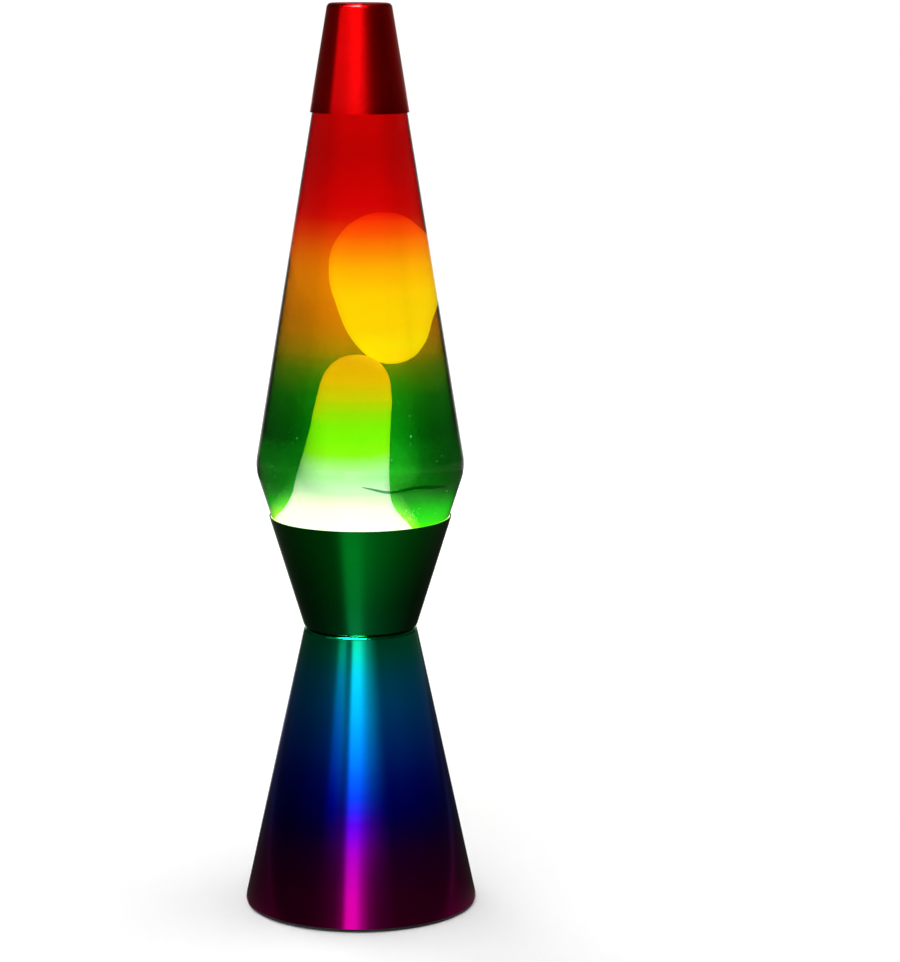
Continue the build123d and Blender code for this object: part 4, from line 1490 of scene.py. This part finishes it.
def card_rows() -> list[CardRow]:
    """Lines of the cards: out over the table, up round the lamp and in over its top."""
    wall, ceiling = 1000.0, 1250.0
    return [
        CardRow(CUP_LOW_STRIPS, 53.5, 0.0),
        CardRow(CUP_LOW_STRIPS, 27.5, 128.0, CUP_TILT, on_table=True),
        CardRow(CUP_HIGH_STRIPS, 40.3, 175.6, CUP_TILT, on_table=True, lift=4.0),
        CardRow(TABLE_STRIPS, 42.0, 183.0, CUP_TILT, on_table=True, lift=6.0),
        CardRow(TABLE_STRIPS, wall, 0.0),
        CardRow(FOOT_STRIPS, 51.9, 1.4, CONE_TILT, lift=-60.0),
        CardRow(FOOT_STRIPS, 46.6, 26.0, CONE_TILT),
        CardRow(VIOLET_STRIPS, 42.5, 45.0, CONE_TILT),
        CardRow(CONE_STRIPS, 38.6, 63.0, CONE_TILT),
        CardRow(CONE_STRIPS, 30.4, 101.0, CONE_TILT),
        CardRow(TEAL_STRIPS, 27.0, 117.0, CONE_TILT),
        CardRow(TEAL_STRIPS, 24.9, 126.0, CONE_TILT, gain=1.8),
        CardRow(BOTTLE_STRIPS, 45.4, 200.0, BOTTLE_TILT),
        CardRow(BOTTLE_STRIPS, 20.8, 353.0, BOTTLE_TILT, lift=6.0),
        CardRow(CAP_STRIPS, 21.7, 353.6, CAP_TILT, lift=10.0, gain=1.8),
        CardRow(CAP_STRIPS, 20.0, 363.0, CAP_TILT, gain=1.05),
        CardRow(CAP_STRIPS, 13.9, 400.0, CAP_TILT, lift=60.0, gain=0.66),
        CardRow(TOP_STRIPS, wall, 980.0),
        CardRow(TOP_STRIPS, wall, ceiling),
        CardRow(GLINT_STRIPS, 980.0, ceiling),
        CardRow(GLINT_STRIPS, 120.0, ceiling),
        CardRow(TOP_STRIPS, 100.0, ceiling),
        CardRow(TOP_STRIPS, 0.0, ceiling),
    ]


def hide_from(piece: Piece, ways: Sequence[str]) -> None:
    """Hide a piece of the studio from some kinds of rays.

    Args:
        piece: The object.
        ways: Blender's names for the kinds.
    """
    for way in ways:
        setattr(piece, f"visible_{way}", False)


@dataclass
class Studio:
    """Pale floor, white surroundings, two soft lamps and the cards that the metal reflects."""

    floor_radius: float = 6.0
    far_glow: float = 0.27
    columns: int = 240
    fill_level: float = 0.8
    wall: float = 1.0
    card_lift: float = 0.0006
    glow_reach: Point = (0.3, 0.85)
    dim_tint: Colour = (1.0, 1.0, 0.85)
    camera: ViewCamera = ViewCamera()

    def build(self) -> None:
        """Make the floor, the surroundings, the lamps and the cards."""
        self.surroundings()
        self.floor()
        self.lamps()
        self.cards()

    def surroundings(self) -> None:
        """White world, a little dimmer where it lights matt surfaces."""
        bench = Bench("studio_white", world=True)
        level = bench.ranged(bench.seen_plainly(), (0.0, 1.0), (self.fill_level, 1.0))
        light = bench.add("ShaderNodeBackground", {"Color": opaque(WHITE), "Strength": level})
        bpy.context.scene.world = bench.finish(light)

    def floor(self) -> None:
        """Round pale floor that meets the white surroundings and keeps the lamp's shadow."""
        top, underside = mm(-0.4), mm(-2.0)
        disc = turned_object("studio_floor", [(0.0, top), (self.floor_radius, top), (0.0, underside)], 96)
        bench = Bench("studio_floor_pale")
        tone = bench.ranged(bench.stretched_noise((6.0, 6.0, 6.0)), MOST_NOISE, (0.95, 0.97))
        inputs = {0: bench.object_place()}
        away = bench.add("ShaderNodeVectorMath", inputs, operation="LENGTH").outputs["Value"]
        glow = bench.ranged(away, self.glow_reach, (0.0, self.far_glow))
        disc.data.materials.append(bench.surface({
            "Base Color": bench.grey(tone),
            "Roughness": 0.9,
            "Emission Color": opaque(WHITE),
            "Emission Strength": bench.worked("MULTIPLY", bench.seen_plainly(), glow),
        }))

    def lamps(self) -> None:
        """Soft lamps behind on the left and beside on the right, which each throw a soft shadow."""
        self.lamp("key_lamp", Vector((-0.8, 1.0, 1.2)), size=0.8, power=6.8)
        self.lamp("side_lamp", Vector((1.0, 0.1, 0.9)), size=2.0, power=4.6)

    @staticmethod
    def lamp(name: str, spot: Vector, size: float, power: float) -> None:
        """Add one square lamp that points at the bottle.

        Args:
            name: Name of the lamp.
            spot: Its place.
            size: Length of its side.
            power: Its power in watts.
        """
        light = bpy.data.lights.new(name, "AREA")
        light.size = size
        light.energy = power
        made = linked(name, light)
        made.location = spot
        made.rotation_euler = (Vector((0.0, 0.0, 0.15)) - spot).to_track_quat("-Z", "Y").to_euler()
        hide_from(made, ("camera", "glossy", "transmission"))

    def cards(self) -> None:
        """Dim cards round and over the lamp, with brighter strips, which only its own reflections show."""
        rows = card_rows()
        vertices = []
        glows = []
        for column in range(self.columns):
            azimuth = 360.0 * column / self.columns - 180.0
            turn = math.radians(azimuth)
            for row in rows:
                vertices.append(row.place(turn, self.camera, self.wall, self.card_lift))
                glows.append(level_at(azimuth, row.strips) * row.gain)
        count = len(rows)
        faces = []
        for column in range(self.columns):
            following = (column + 1) % self.columns
            for row in range(count - 1):
                first, second = column * count + row, following * count + row
                faces.append((first, first + 1, second + 1, second))
        card = mesh_object("studio_cards", vertices, faces)
        attribute = card.data.attributes.new("glow", "FLOAT", "POINT")
        attribute.data.foreach_set("value", glows)
        bench = Bench("studio_card_grey")
        glow = bench.add("ShaderNodeAttribute", attribute_name="glow").outputs["Fac"]
        tint = bench.blended(bench.ranged(glow, (0.0, 0.8)), self.dim_tint, WHITE)
        bounces = bench.add("ShaderNodeLightPath").outputs["Diffuse Depth"]
        strength = bench.worked("MULTIPLY", glow, bench.ranged(bounces, (0.0, 1.0), (1.0, 0.0)))
        card.data.materials.append(bench.finish(bench.add("ShaderNodeEmission", {
            "Color": tint,
            "Strength": strength,
        })))
        hide_from(card, ("camera", "diffuse", "transmission", "volume_scatter", "shadow"))


def main() -> None:
    """Build and dress the lamp."""
    logging.basicConfig(level=logging.INFO, format="%(message)s")
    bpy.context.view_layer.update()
    bpy.context.scene.view_settings.view_transform = "Standard"
    bottle = Bottle()
    parts = [ViewCamera(), Studio(), Shells(), bottle, Wax(bottle), HeatCoil(), Bulb(), Lampholder(), Foot()]
    for part in parts:
        part.build()
        log.info("built %s", type(part).__name__)


if __name__ == "__main__":
    main()
